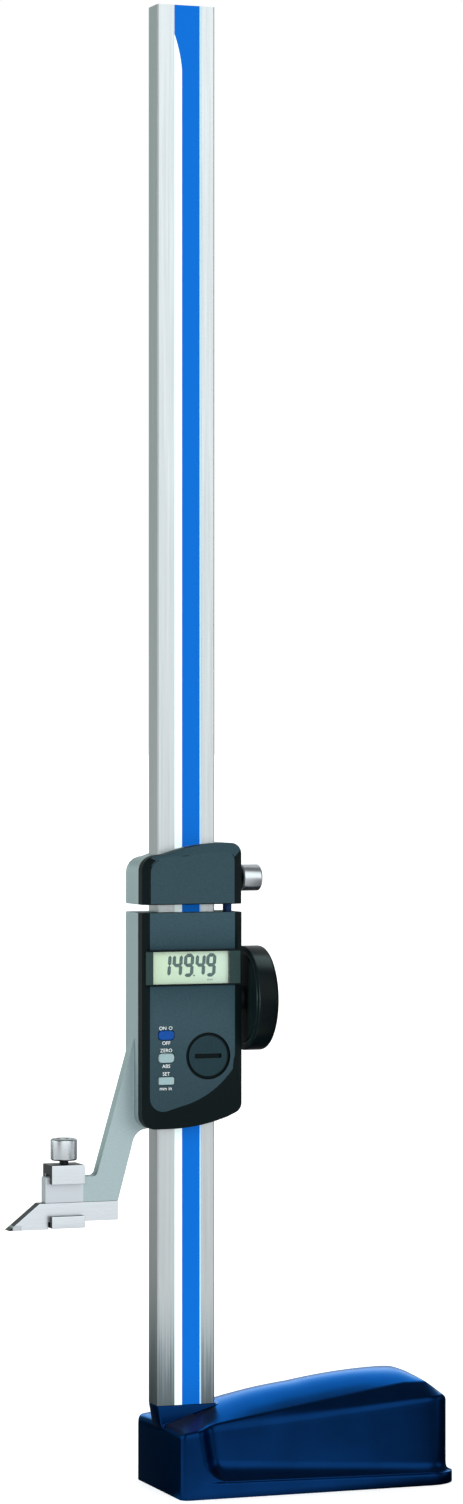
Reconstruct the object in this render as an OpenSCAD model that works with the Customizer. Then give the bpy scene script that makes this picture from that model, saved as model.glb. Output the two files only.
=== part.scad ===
// Digital height gauge: a steel column on a cast base, with a measuring head that slides on it.
// Frame: +X along the base, away from the scriber; the display faces -Y; +Z up.
// The origin lies on the surface plate, under the column's centre line. Millimetres.

/* [Column] */
// Width of the column, across the display side
column_w = 34; // [32:0.5:38]
// Depth of the column, front to back
column_d = 16; // [14:0.5:20]
// Height of the column's top over the plate
column_top = 835; // [780:5:900]
// Chamfer on the column's long edges
column_chamfer = 0.7; // [0.4:0.1:1.2]
// Width of the printed film on the column's face
film_w = 16; // [12:0.5:18]

/* [Base] */
// Length of the base
base_l = 168; // [150:0.5:200]
// Width of the base
base_w = 80; // [70:0.5:90]
// Height of the base's crown, at its highest
base_h = 62.5; // [56:0.5:70]
// Height of the nose, at the column's end of the base
nose_h = 37.5; // [34:0.5:42]
// Height of the seat that the column stands on
seat_h = 48.5; // [46:0.5:54]
// Height of the plinth around the base's foot, at the nose
plinth_h = 9.5; // [7:0.5:12]
// Height of the plinth at the tail
plinth_tail_h = 6.5; // [5:0.5:7]
// How far the column overhangs the end of the base
overhang = 3.5; // [2:0.5:5]

/* [Measuring head] */
// Height of the scriber's measuring face over the plate, as stored
reading = 149.49; // [100:0.01:300]
// Width of the measuring head
head_w = 59.2; // [58:0.2:66]
// Thickness of the head's front and back walls
wall_t = 3; // [2.6:0.1:4]
// Thickness of the plastic covers
cover_t = 9.5; // [9.5:0.1:11]
// Height of the head's top over the measuring face
head_top = 176; // [172:0.5:182]
// Height of the head's lowest edge over the measuring face
head_low = 55; // [52:0.5:57]
// Gap between the head and the fine-adjustment carriage
head_gap = 4.5; // [4.5:0.1:6]
// Height of the carriage
carriage_h = 34.3; // [33:0.1:38]

/* [Display and keys] */
// Width of the visible display
lcd_w = 45.3; // [40:0.1:46]
// Height of the visible display
lcd_h = 18.2; // [15:0.1:19]
// Width of a key
key_w = 9.6; // [8:0.1:10]
// Height of a key
key_h = 5.2; // [4:0.1:5.6]
// Distance between keys
key_pitch = 12.75; // [12:0.05:13.5]
// Travel of a key
key_travel = 0.8; // [0.4:0.1:0.9]
// Diameter of the battery cover
battery_cover_d = 25.5; // [24.5:0.1:26.5]

/* [Fine adjustment] */
// Diameter of the handwheel
wheel_d = 59; // [50:1:64]
// Thickness of the handwheel's rim
wheel_t = 12; // [10:0.5:15]
// Diameter of the fine-adjustment spindle
spindle_d = 5; // [4.4:0.1:5.2]
// Teeth on each bevel gear
gear_teeth = 12; // [12:4:16]
// Pitch radius of each bevel gear
gear_r = 3; // [2.8:0.05:3.1]
// Diameter of the clamp knobs
knob_d = 15; // [12:0.5:16]
// Travel of a clamp from tight to loose
clamp_travel = 0.8; // [0.4:0.1:0.8]

/* [Scriber] */
// Reach of the scriber's point from the column's centre line
scriber_reach = 103; // [98:0.5:106]
// Thickness of the arm, the tongue and the scriber
arm_t = 8; // [6:0.5:9]
// Height of the tongue's underside over the measuring face
tongue_low = 14.5; // [13:0.5:16]
// Height of the tongue
tongue_h = 14.5; // [13:0.5:16]
// Width of the scriber clamp
stirrup_w = 19.4; // [18:0.2:22]

/* [Hidden] */
$fn = 48;

// Fits: sliding, running and thread clearance, and the room between moving pieces
slide = 0.05;
run = 0.05;
room = 0.3;
over = 1;

// Column, its groove and the seat
half_w = column_w / 2;
half_d = column_d / 2;
strip_t = 0.8;
film_t = 0.16;
groove_t = 1;
film_x = 1;
bolt_r = 2.5;
bolt_xs = [-6, 11];
bolt_head_r = 4.25;
bolt_head_z = 18;
bolt_head_h = 5;
bolt_depth = 16;
foot_relief = 3;
foot_rim = 10;
foot_x = half_w + 5;

// Base stations and profile
base_x0 = overhang - half_w;
base_x1 = base_x0 + base_l;
base_y = base_w / 2;
toe = 3;
nose_r = 4.5;
tail_r = 18;
edge_r = 2;
panel_x = 12;
nose_x = base_x0 + 9;
panel_deep = 8;
panel_shallow = 2;
crest_x = base_x0 + base_l * 0.82;
body_x1 = base_x1 - toe;
tail_x = body_x1 - 19.5;
tail_slope = 0.68;
tail_soft = 3;
crown_fill = 1.8;
crown_fill_l = 80;
plinth_edge = 0.8;
panel_foot = 8.6;
panel_step = 0.6;
shoulder_low = 1.2;
shoulder_wide = 9;
shoulder_drop = 5;
panel_drop = 11.8;
ridge_r = 0.8;
toe_fall = 0.03;

// Head section: the front wall, the side walls and the back plate around the column
head_x = head_w / 2;
head_y0 = -half_d - wall_t;
head_y1 = half_d + wall_t;
cover_y0 = head_y0 - cover_t;
bevel_deep = 2.8;
bevel_wide = 3.8;
front_t = 2;
housing_floor = 11;
carriage_ceiling = 14;
boss_skin = 1.2;
bevel_y = cover_y0 + bevel_deep;
cavity_y = cover_y0 + front_t;
low_arc_x = -14;
low_arc_r = 106;
low_corner_r = 8;
low_ease = 0.8;
corner_r = 6;
carriage_z0 = head_top + head_gap;
carriage_z1 = carriage_z0 + carriage_h;
top_arc_x = 20;
top_arc_r = 109;
top_corner_r = 9;

// Fine adjustment
spindle_x = 25;
spindle_y = -6.5;
spindle_r = spindle_d / 2;
axis_z = 126.8;
gear_face = 1.5;
gear_bore = 1.4;
shaft_r = 2.2;
gear_add = 0.42;
gear_ded = 0.62;
gear_z0 = axis_z + gear_r - gear_face;
gear_z1 = axis_z + gear_r;
pocket_r = gear_r + gear_add + 0.3;
bearing_t = 3.2;
bearing_r = 7;
bearing_wall = 1.6;
bearing_screw_r = 1;
bearing_screw_head_r = 1.5;
bearing_screw_head_h = 1;
bearing_screw_at = [[5, 0], [0, -5]];
bearing_sink = 1.2;
bearing_screw_grip = 3.6;
bearing_hole = 4;
bearing_x1 = head_x + bearing_t;
wheel_x0 = bearing_x1 + 0.9;
wheel_x1 = wheel_x0 + wheel_t;
hub_in = 3.2;
wheel_screw_head_r = 3.4;
wheel_screw_head_h = 1;
wheel_screw_r = 1;
wheel_screw_l = 5.4;
wheel_hole = 9;
wheel_cap_r = 6.8;
nut_z0 = carriage_z0 + 1.4;
nut_h = 8;
nut_r = 3.9;
spindle_top = nut_z0 + nut_h + 9;
spindle_room = 5;
bush_z0 = head_top - 8;
bush_r = 3.8;
collar_z0 = gear_z1 + 2;
collar_h = 2;

// Clamp of the carriage
clamp_z = carriage_z0 + 14;
clamp_r = 2.5;
pad_w = 8;
pad_t = 2.2;
pad_gap = 0.02;
knob_x0 = 35;
knob_l = 10.6;
knob_r = knob_d / 2;
knob_bevel = 0.9;
knob_bore = 6;

// Guides
gib_t = 2;
gib_x0 = half_w + pad_gap;
gib_z0 = 64;
gib_z1 = head_top - 4;
gib_h = 8;
gib_screw_r = 2;
gib_screw_zs = [74, 108, 152];
screw_r = 1.5;
screw_head_r = 2.75;
screw_head_h = 1.8;
screw_x = head_x - 5;
slider_screw_zs = [78, 116, 166];
carriage_screw_zs = [carriage_z0 + 5, carriage_z0 + 20];
cover_screw_x = 20.6;
cover_screw_r = 1.25;
cover_screw_head_r = 2.3;
sink = 4;
screw_deep = 6.2;
boss_r = 2.8;
housing_screw_zs = [70, head_top - 12];
carriage_cover_screw_at = [[-cover_screw_x, carriage_z0 + 8], [cover_screw_x, carriage_z0 + 28]];

// Display, keys and electronics
lcd_x = -1.35;
lcd_z = 145.2;
bezel_x = -0.15;
bezel_w = lcd_w + 10.4;
bezel_h = lcd_h + 1.7;
bezel_proud = 0.7;
bezel_t = 1.6;
lens_t = 0.9;
lcd_t = 1.5;
lcd_y0 = cavity_y + 0.3;
key_x = -16.2;
key_mid_z = 95;
key_proud = 0.9;
key_flange = 1;
key_flange_t = 0.7;
key_r = 1.2;
mat_w = 12;
mat_t = 0.8;
mat_end = 5;
dome_r = 2;
battery_x = 8.7;
battery_z = 95.6;
cell_r = 10;
cell_t = 3.2;
board_t = 1.2;
board_x0 = -24;
board_x1 = 17;
board_z0 = 75;
board_z1 = 158;
plug_w = 12;
plug_z0 = 118;
plug_z1 = 122;
board_y1 = head_y0 - 0.8;
sensor_y1 = -half_d - 0.4;
sensor_x0 = film_x - 11;
sensor_x1 = film_x + 11;
sensor_z0 = 92;
sensor_z1 = 150;
cell_y1 = board_y1 - board_t - 0.7;
cell_y0 = cell_y1 - cell_t;
cover_disc_t = 1.6;
plug_r = cell_r + 0.7;
contact_w = 6;
contact_l = 16;
contact_t = 0.25;
slot_deep = 1.2;
slot_h = 2.6;
seal_r = 0.4;
seal_y = cavity_y + 1.4;
well_t = 2.6;
well_h = 2.2;

// Arm, tongue, scriber and stirrup
arm_y = arm_t / 2;
arm_top_z = 106;
arm_left_x = -51.2;
arm_heel_x = -39;
arm_root_x = -30.4;
arm_root_z = 45.5;
arm_root_r = 9;
arm_lap = 4;
arm_heel_r = 1.5;
tongue_x0 = 21.4 - scriber_reach;
tongue_top = tongue_low + tongue_h;
stirrup_x1 = tongue_x0 + 21.7;
stirrup_x0 = stirrup_x1 - stirrup_w;
stirrup_x = (stirrup_x0 + stirrup_x1) / 2;
shank_low = 4;
step_x = stirrup_x0 - 0.6;
tip_rise = 18;
tip_w = 7;
tip_t = 2.4;
stirrup_z0 = 0.8;
stirrup_z1 = tongue_top + 6.8;
stirrup_lip = 4.4;
stirrup_back = 4;
stirrup_roof = tongue_top + clamp_travel + 0.4;
upper_lip_z = tongue_top - 3.8;
lower_lip_z = shank_low + 3.4;
stud_r = 2.5;
stirrup_knob_z = stirrup_z1 + 2.2;
stirrup_knob_h = 12.1;

// Colours
steel = [0.78, 0.8, 0.8];
satin = [0.66, 0.73, 0.74];
dark = [0.16, 0.2, 0.22];
brass = [0.72, 0.58, 0.3];
navy = [0.06, 0.2, 0.45];

// A box from its low corner to its high corner
module block(low, high) {
    translate(low) cube(high - low);
}

// Round bars along each axis, from one end to the other
module bar_x(x0, x1, r, y, z) {
    translate([x0, y, z]) rotate([0, 90, 0]) cylinder(h = x1 - x0, r = r);
}
module bar_y(y0, y1, r, x, z) {
    translate([x, y1, z]) rotate([90, 0, 0]) cylinder(h = y1 - y0, r = r);
}
module bar_z(z0, z1, r, x, y) {
    translate([x, y, z0]) cylinder(h = z1 - z0, r = r);
}

// An outline in the X-Z plane, as a plate from y0 to y1
module plate(points, y0, y1) {
    translate([0, y1, 0]) rotate([90, 0, 0]) linear_extrude(y1 - y0) polygon(points);
}

// A box in the X-Z plane with rounded corners, as a plate from y0 to y1
module pad(x, z, w, h, r, y0, y1) {
    plate([for (q = [0 : 3]) for (p = corner(q, x, z, w / 2 - r, h / 2 - r, r)) p], y0, y1);
}
function corner(q, x, z, dx, dz, r) =
    let (sx = (q == 0 || q == 3) ? 1 : -1, sz = q < 2 ? 1 : -1)
    arc(x + sx * dx, z + sz * dz, r, q * 90, q * 90 + 90, 4);

// Points of an arc
function arc(x, z, r, a0, a1, n) =
    [for (i = [0 : n]) let (a = a0 + (a1 - a0) * i / n) [x + r * cos(a), z + r * sin(a)]];

// A socket head screw along +Z, with its head under z = 0
module cap_screw(r, head_r, head_h, length) {
    difference() {
        union() {
            cylinder(h = length, r = r);
            translate([0, 0, -head_h]) cylinder(h = head_h, r = head_r);
        }
        translate([0, 0, -head_h - over]) cylinder(h = head_h * 0.6 + over, r = head_r * 0.52, $fn = 6);
    }
}
module cap_screw_y(x, y, z, r, head_r, head_h, length) {
    translate([x, y, z]) rotate([90, 0, 0]) cap_screw(r, head_r, head_h, length);
}

// A turned knob with a bevelled edge at both ends, along +Z
module turned_knob(r, h, bevel, bore) {
    rotate_extrude() polygon([
        [bore, 0], [r - bevel, 0], [r, bevel], [r, h - bevel], [r - bevel, h], [bore, h]
    ]);
}

// Base casting

function ease(t) = let (c = max(0, min(1, t))) c * c * (3 - 2 * c);
function blend(a, b, t) = a + (b - a) * max(0, min(1, t));
function round_in(d, r) = d >= r ? 0 : r - sqrt(max(0, r * r - (r - d) * (r - d)));

// The plinth's height along the base
function plinth_z(x) = blend(plinth_h, plinth_tail_h, (x - base_x0) / base_l);
// The crown's fall at the tail: a slope that starts softly
function tail_fall(x) =
    let (past = x - tail_x) tail_slope * (past + sqrt(past * past + tail_soft * tail_soft)) / 2;
// The crown's height along the base, filled out behind the seat, with its rounded nose
function crown_z(x) =
    let (along = x - base_x0, t = max(0, min(1, along / (crest_x - base_x0))))
    nose_h + (base_h - nose_h) * sin(90 * t)
    + crown_fill * sin(180 * min(1, along / crown_fill_l))
    - tail_fall(x) - round_in(along, edge_r);
// How deep the side panel lies inside the plinth
function panel_in(x) =
    ease((x - nose_x) / (panel_x - nose_x))
    * blend(panel_deep, panel_shallow, (x - panel_x) / (body_x1 - panel_x));
function body_y(x) =
    base_y - round_in(x - base_x0, nose_r) - round_in(max(0, body_x1 - x), tail_r);
function plinth_y(x) =
    base_y - round_in(x - base_x0, nose_r) - round_in(max(0, base_x1 - x), tail_r);
function ridge_z(x) =
    min(
        crown_z(x) - shoulder_low,
        blend(nose_h - panel_step, base_h - shoulder_drop, (x - base_x0) / (crest_x - base_x0))
    );
function panel_top(x) =
    min(
        ridge_z(x) - shoulder_low - ridge_r / 4,
        blend(nose_h - edge_r, base_h - panel_drop, (x - base_x0) / base_l)
    );
function panel_low(x) =
    plinth_z(x) + panel_step
    + ease((x - nose_x) / (panel_x - nose_x))
    * blend(panel_foot, ridge_r / 2, (x - panel_x) / (body_x1 - panel_x));

// One side of the section at x, from the foot to the crown
function half_section(x) =
    let (
        y = body_y(x),
        in = panel_in(x),
        ridge_in = in + shoulder_low + shoulder_wide * ease((x - nose_x) / (body_x1 - nose_x)),
        lip = plinth_edge / 8 + plinth_edge * 7 / 8 * ease((x - nose_x) / (panel_x - nose_x)),
        rz = ridge_z(x),
        cz = crown_z(x)
    )
    [
        [plinth_y(x), 0],
        [plinth_y(x), plinth_z(x) - plinth_edge],
        [min(y, plinth_y(x)) - lip, plinth_z(x)],
        [y - in * 0.45, blend(plinth_z(x), panel_low(x), 0.45)],
        [y - in, panel_low(x)],
        [y - in, blend(panel_low(x), panel_top(x), 0.5)],
        [y - in, panel_top(x)],
        [y - ridge_in + ridge_r * 5 / 8, rz - panel_step],
        [y - ridge_in - ridge_r, rz],
        [(y - ridge_in) * 0.66, blend(rz, cz, 0.58)],
        [(y - ridge_in) * 0.33, blend(rz, cz, 0.9)]
    ];
// The same points on the toe of the plinth, past the end of the body
function toe_section(x) =
    let (y = plinth_y(x), n = len(half_section(body_x1)))
    concat(
        [[y, 0], [y, plinth_z(x) - plinth_edge]],
        [for (i = [2 : n - 1])
            [(y - plinth_edge) * (1 - (i - 2) / (n - 1)), plinth_z(x) + toe_fall * i]]
    );
function section(x) =
    let (half = x > body_x1 ? toe_section(x) : half_section(x), n = len(half))
    concat(
        [for (p = half) [x, p[0], p[1]]],
        [[x, 0, x > body_x1 ? plinth_z(x) + toe_fall * n : crown_z(x)]],
        [for (i = [n - 1 : -1 : 0]) [x, -half[i][0], half[i][1]]]
    );
base_stations = concat(
    [for (d = [0, 0.09, 0.27, 0.53, 1]) base_x0 + nose_r * d],
    [for (i = [0 : 6]) nose_x + (panel_x - nose_x) * i / 6],
    [for (i = [1 : 8]) panel_x + (crest_x - panel_x) * i / 8],
    [for (d = [1, 0.6, 0.3, 0.1, 0]) body_x1 - tail_r * d],
    [for (d = [0.4, 0.8, 1]) body_x1 + toe * d]
);
// Triangles over a form's end: level strips from one side to the other, up to the crown
function end_faces(n) =
    [for (i = [0 : (n - 3) / 2]) let (j = n - 1 - i)
        each i + 1 == j - 1 ? [[i, i + 1, j]] : [[i, i + 1, j], [i + 1, j - 1, j]]];
function ring_faces(n, rings) = concat(
    end_faces(n),
    [for (s = [0 : rings - 2]) for (i = [0 : n - 1]) let (j = (i + 1) % n)
        [s * n + i, (s + 1) * n + i, s * n + j]],
    [for (s = [0 : rings - 2]) for (i = [0 : n - 1]) let (j = (i + 1) % n)
        [s * n + j, (s + 1) * n + i, (s + 1) * n + j]],
    [for (f = end_faces(n)) [for (k = [2, 1, 0]) (rings - 1) * n + f[k]]]
);
module casting_form() {
    rings = [for (x = base_stations) section(x)];
    polyhedron(points = [for (r = rings) each r], faces = ring_faces(len(rings[0]), len(rings)));
}
// The seat under the column tapers back to the end of the base
seat_root_z = nose_h - 3 * edge_r;
pedestal_outline = [
    [-half_w, seat_h], [half_w + edge_r / 2, seat_h], [half_w + edge_r / 2, seat_root_z],
    [base_x0 + edge_r, seat_root_z], [-half_w + edge_r, nose_h]
];
module base_casting() {
    color(navy) difference() {
        union() {
            casting_form();
            plate(pedestal_outline, -half_d, half_d);
        }
        block([foot_x, foot_rim - base_y, -over],
            [base_x1 - foot_rim, base_y - foot_rim, foot_relief]);
        for (x = bolt_xs) {
            bar_z(-over, bolt_head_z, bolt_head_r + 0.4, x, 0);
            bar_z(0, seat_h + over, bolt_r + 0.3, x, 0);
        }
    }
}

// Column with its groove for the scale, and the bolts that hold it from below

module column() {
    c = column_chamfer;
    color(steel) difference() {
        translate([0, 0, seat_h]) linear_extrude(column_top - seat_h) polygon([
            [c - half_w, -half_d], [half_w - c, -half_d], [half_w, c - half_d], [half_w, half_d - c],
            [half_w - c, half_d], [c - half_w, half_d], [-half_w, half_d - c], [-half_w, c - half_d]
        ]);
        block([film_x - film_w / 2, -half_d - over, seat_h - over],
            [film_x + film_w / 2, groove_t - half_d, column_top + over]);
        for (x = bolt_xs)
            bar_z(seat_h - over, seat_h + bolt_depth + 2, bolt_r + run, x, 0);
    }
}
module column_bolts() {
    color(dark) for (x = bolt_xs)
        translate([x, 0, bolt_head_z])
            cap_screw(bolt_r, bolt_head_r, bolt_head_h, seat_h + bolt_depth - bolt_head_z);
}
module scale_strip() {
    color([0.2, 0.4, 0.25])
        block([film_x - film_w / 2 + slide, groove_t - half_d - strip_t, seat_h],
            [film_x + film_w / 2 - slide, groove_t - half_d, column_top]);
}
module scale_film() {
    film_y = groove_t - half_d - strip_t;
    color([0.05, 0.4, 0.85])
        block([film_x - film_w / 2 + slide, film_y - film_t, seat_h],
            [film_x + film_w / 2 - slide, film_y, column_top]);
}

// Outlines of the head and the carriage, seen from the front, over the measuring face

function arc_drop(r, d) = r - sqrt(r * r - d * d);
function low_arc_z(x) = head_low + arc_drop(low_arc_r, x - low_arc_x);
function top_arc_z(x) = carriage_z1 - arc_drop(top_arc_r, x - top_arc_x);
head_outline = concat(
    [[-head_x, head_top]],
    arc(low_corner_r - head_x, head_low + low_corner_r, low_corner_r, 180, 270, 5),
    [for (i = [0 : 6])
        let (x = low_arc_x + (head_x - corner_r - low_arc_x) * i / 6) [x, low_arc_z(x)]],
    arc(head_x - corner_r, low_arc_z(head_x - corner_r) + corner_r + low_ease, corner_r, -50, 0, 3),
    [[head_x, head_top]]
);
carriage_outline = concat(
    [[head_x, carriage_z0]],
    arc(head_x - corner_r, top_arc_z(head_x - corner_r) - corner_r, corner_r, 0, 90, 4),
    [for (i = [0 : 6])
        let (x = top_arc_x - (top_arc_x + head_x - top_corner_r) * i / 6) [x, top_arc_z(x)]],
    arc(top_corner_r - head_x, top_arc_z(top_corner_r - head_x) - top_corner_r, top_corner_r,
        100, 180, 4),
    [[-head_x, carriage_z0]]
);
// The flat front of each cover, inside its bevel
panel_x0 = bevel_wide - head_x;
panel_x1 = head_x - bevel_wide;
panel_r = 8;
panel_low_z = head_low + 18;
panel_arc_x = -19.2;
panel_arc_z = head_low + 64;
panel_arc_r = 52.6;
panel_side_r = 9;
panel_side_z = head_low + 42;
carriage_panel_r = 4;
carriage_panel_x = -4;
carriage_panel_drop = 6.4;
carriage_panel_z = carriage_z1 - 16.5;
panel_outline = concat(
    [[panel_x0, head_top]],
    arc(panel_x0 + panel_r, panel_low_z, panel_r, 180, 285, 4),
    arc(panel_arc_x, panel_arc_z, panel_arc_r, -77, -33, 6),
    arc(panel_x1 - panel_side_r, panel_side_z, panel_side_r, -25, 0, 3),
    [[panel_x1, head_top]]
);
carriage_panel = concat(
    [[panel_x1, carriage_z0]],
    arc(panel_x1 - carriage_panel_r, carriage_z1 - 2 * carriage_panel_r, carriage_panel_r, 0, 90, 4),
    [[carriage_panel_x, carriage_z1 - carriage_panel_drop]],
    arc(panel_x0 + panel_r, carriage_panel_z, panel_r, 100, 180, 4),
    [[panel_x0, carriage_z0]]
);
// A cover's closed form: straight sides, then a bevel up to the flat front
module cover_form(outline, panel) {
    hull() {
        plate(outline, bevel_y, head_y0);
        plate(panel, cover_y0, bevel_y);
    }
}

// Carriage of the fine adjustment

module carriage_body() {
    color(satin) translate([0, 0, reading]) difference() {
        plate(carriage_outline, head_y0, half_d);
        block([-half_w - slide, -half_d - slide, carriage_z0 - over],
            [half_w + slide, half_d + over, carriage_z1 + over]);
        bar_z(carriage_z0 - over, spindle_top + spindle_room, spindle_r + 4 * slide, spindle_x, spindle_y);
        bar_z(carriage_z0 - over, nut_z0 + nut_h, nut_r + run, spindle_x, spindle_y);
        block([half_w, -pad_w / 2 - slide, clamp_z - pad_w / 2 - slide],
            [half_w + pad_gap + pad_t + clamp_travel + 4 * slide, pad_w / 2 + slide,
                clamp_z + pad_w / 2 + slide]);
        bar_x(half_w, head_x + over, clamp_r + run, 0, clamp_z);
        for (s = [-1, 1]) for (z = carriage_screw_zs)
            bar_y(half_d - screw_deep, half_d + over, screw_r + run, s * screw_x, z);
        for (p = carriage_cover_screw_at) cover_screw_hole(p[0], p[1]);
    }
}
// A screw hole from the back of a body into its cover, with its head below the back plate
module cover_screw_hole(x, z) {
    bar_y(head_y0 - over, half_d, cover_screw_r + run, x, z);
    bar_y(half_d - sink, half_d + over, cover_screw_head_r + 3 * slide, x, z);
}
module cover_screw(x, z) {
    cap_screw_y(x, half_d - sink, z, cover_screw_r, cover_screw_head_r, sink / 2,
        half_d - sink - cavity_y - boss_skin - 8 * slide);
}
// A back plate with countersunk places for its screws
module back_plate(outline, zs) {
    difference() {
        plate(outline, half_d, head_y1);
        for (s = [-1, 1]) for (z = zs) {
            bar_y(half_d - over, head_y1 + over, screw_r + 2 * slide, s * screw_x, z);
            bar_y(head_y1 - screw_head_h, head_y1 + over, screw_head_r + 3 * slide, s * screw_x, z);
        }
    }
}
module back_screws(zs) {
    for (s = [-1, 1]) for (z = zs)
        cap_screw_y(s * screw_x, head_y1 - screw_head_h, z, screw_r, screw_head_r,
            screw_head_h - 4 * slide, head_y1 - screw_head_h - half_d + screw_deep - 2 * room);
}
module carriage_back_plate() {
    color(satin) translate([0, 0, reading]) back_plate(carriage_outline, carriage_screw_zs);
}
module carriage_back_screws() {
    color(dark) translate([0, 0, reading]) back_screws(carriage_screw_zs);
}
module carriage_cover() {
    inner_z1 = carriage_z1 - carriage_ceiling;
    color(dark) translate([0, 0, reading]) difference() {
        cover_form(carriage_outline, carriage_panel);
        difference() {
            block([front_t - head_x, cavity_y, carriage_z0 + front_t],
                [head_x - front_t, head_y0 + over, inner_z1]);
            for (p = carriage_cover_screw_at)
                bar_y(cavity_y - over, head_y0 + over, boss_r, p[0], p[1]);
        }
        for (p = carriage_cover_screw_at)
            bar_y(cavity_y + boss_skin, head_y0 + over, cover_screw_r + run, p[0], p[1]);
    }
}
module carriage_cover_screws() {
    color(dark) translate([0, 0, reading])
        for (p = carriage_cover_screw_at) cover_screw(p[0], p[1]);
}
module spindle_nut() {
    color(brass) translate([0, 0, reading]) difference() {
        bar_z(nut_z0, nut_z0 + nut_h, nut_r, spindle_x, spindle_y);
        bar_z(nut_z0 - over, nut_z0 + nut_h + over, spindle_r + run, spindle_x, spindle_y);
    }
}
module clamp_pad() {
    x0 = half_w + pad_gap;
    color(brass) translate([0, 0, reading])
        block([x0, -pad_w / 2, clamp_z - pad_w / 2], [x0 + pad_t, pad_w / 2, clamp_z + pad_w / 2]);
}
module clamp_stud() {
    color(dark) translate([0, 0, reading])
        bar_x(half_w + pad_gap + pad_t, knob_x0 + knob_bore, clamp_r, 0, clamp_z);
}
module clamp_knob() {
    color(steel) translate([knob_x0, 0, reading + clamp_z]) rotate([0, 90, 0]) difference() {
        turned_knob(knob_r, knob_l, knob_bevel, 0);
        translate([0, 0, -over]) cylinder(h = knob_bore + over, r = clamp_r);
    }
}

// Measuring head: the steel body with its arm, and the pieces that guide it

arm_outline = [
    [-head_x + arm_lap, arm_top_z + arm_lap / 2], [-head_x, arm_top_z],
    [arm_left_x, tongue_top + arm_heel_r], [arm_left_x - arm_heel_r, tongue_top],
    [tongue_x0, tongue_top], [tongue_x0, tongue_low], [arm_heel_x, tongue_low],
    each arc(arm_root_x + arm_root_r, arm_root_z, arm_root_r, 165, 105, 5),
    [low_corner_r - head_x + arm_lap, head_low + 4 * slide],
    [low_corner_r - head_x + arm_lap, arm_top_z]
];
module slider_body() {
    color(satin) translate([0, 0, reading]) difference() {
        union() {
            plate(head_outline, head_y0, half_d);
            plate(arm_outline, -arm_y, arm_y);
        }
        block([-half_w - slide, -half_d - slide, head_low - over],
            [half_w + slide, half_d + over, head_top + over]);
        block([half_w, -gib_h / 2 - slide, gib_z0 - slide],
            [gib_x0 + gib_t + slide, gib_h / 2 + slide, gib_z1 + slide]);
        block([sensor_x0 - over, head_y0 - over, sensor_z0 - over],
            [sensor_x1 + over, -half_d, sensor_z1 + over]);
        for (z = gib_screw_zs) bar_x(half_w, head_x + over, gib_screw_r + run, 0, z);
        for (s = [-1, 1]) for (z = slider_screw_zs)
            bar_y(half_d - screw_deep, half_d + over, screw_r + run, s * screw_x, z);
        for (s = [-1, 1]) for (z = housing_screw_zs) cover_screw_hole(s * cover_screw_x, z);
        gear_pocket();
        bar_z(axis_z, head_top + over, spindle_r + 4 * slide, spindle_x, spindle_y);
        bar_z(bush_z0, head_top + over, bush_r + run, spindle_x, spindle_y);
        bar_x(spindle_x, head_x + over, shaft_r + bearing_wall + run, spindle_y, axis_z);
        for (p = bearing_screw_at)
            bar_x(head_x - bearing_hole, head_x + over, bearing_screw_r + run,
                spindle_y + p[0], axis_z + p[1]);
    }
}
// The gear pocket opens to the front, under the cover
module gear_pocket() {
    block([spindle_x - pocket_r, head_y0 - over, axis_z - pocket_r],
        [spindle_x + pocket_r, spindle_y + pocket_r, collar_z0 + collar_h + 0.4]);
}
module slider_back_plate() {
    color(satin) translate([0, 0, reading]) back_plate(head_outline, slider_screw_zs);
}
module slider_back_screws() {
    color(dark) translate([0, 0, reading]) back_screws(slider_screw_zs);
}
module gib_strip() {
    color(brass) translate([0, 0, reading])
        block([gib_x0, -gib_h / 2, gib_z0], [gib_x0 + gib_t, gib_h / 2, gib_z1]);
}
module gib_screws() {
    color(dark) translate([0, 0, reading]) for (z = gib_screw_zs) difference() {
        bar_x(gib_x0 + gib_t + slide, head_x - 2 * room, gib_screw_r, 0, z);
        translate([head_x - 2 * room - gib_screw_r, 0, z]) rotate([0, 90, 0])
            cylinder(h = gib_screw_r + over, r = gib_screw_r * 0.55, $fn = 6);
    }
}

// Housing with its display, keys and battery

module housing_cover() {
    wall = front_t;
    color(dark) translate([0, 0, reading]) difference() {
        cover_form(head_outline, panel_outline);
        difference() {
            block([wall - head_x, cavity_y, head_low + housing_floor],
                [head_x - wall, head_y0 + over, head_top - wall]);
            for (s = [-1, 1]) for (z = housing_screw_zs)
                bar_y(cavity_y - over, head_y0 + over, boss_r, s * cover_screw_x, z);
            battery_well();
        }
        for (s = [-1, 1]) for (z = housing_screw_zs)
            bar_y(cavity_y + boss_skin, head_y0 + over, cover_screw_r + run, s * cover_screw_x, z);
        block([bezel_x - bezel_w / 2 - slide, cover_y0 - over, lcd_z - bezel_h / 2 - slide],
            [bezel_x + bezel_w / 2 + slide, cover_y0 - bezel_proud + bezel_t, lcd_z + bezel_h / 2 + slide]);
        block([lcd_x - lcd_w / 2, cover_y0 - over, lcd_z - lcd_h / 2],
            [lcd_x + lcd_w / 2, cavity_y + over, lcd_z + lcd_h / 2]);
        for (i = [-1 : 1])
            pad(key_x, key_mid_z + i * key_pitch, key_w + 2 * room, key_h + 2 * room, key_r + 4 * slide,
                cover_y0 - over, cavity_y + over);
        bar_y(cover_y0 - over, cover_y0 + cover_disc_t + 2 * slide, battery_cover_d / 2 + room,
            battery_x, battery_z);
        bar_y(cover_y0 - over, cavity_y + 2 * front_t, plug_r + 5 * slide, battery_x, battery_z);
    }
}
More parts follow.
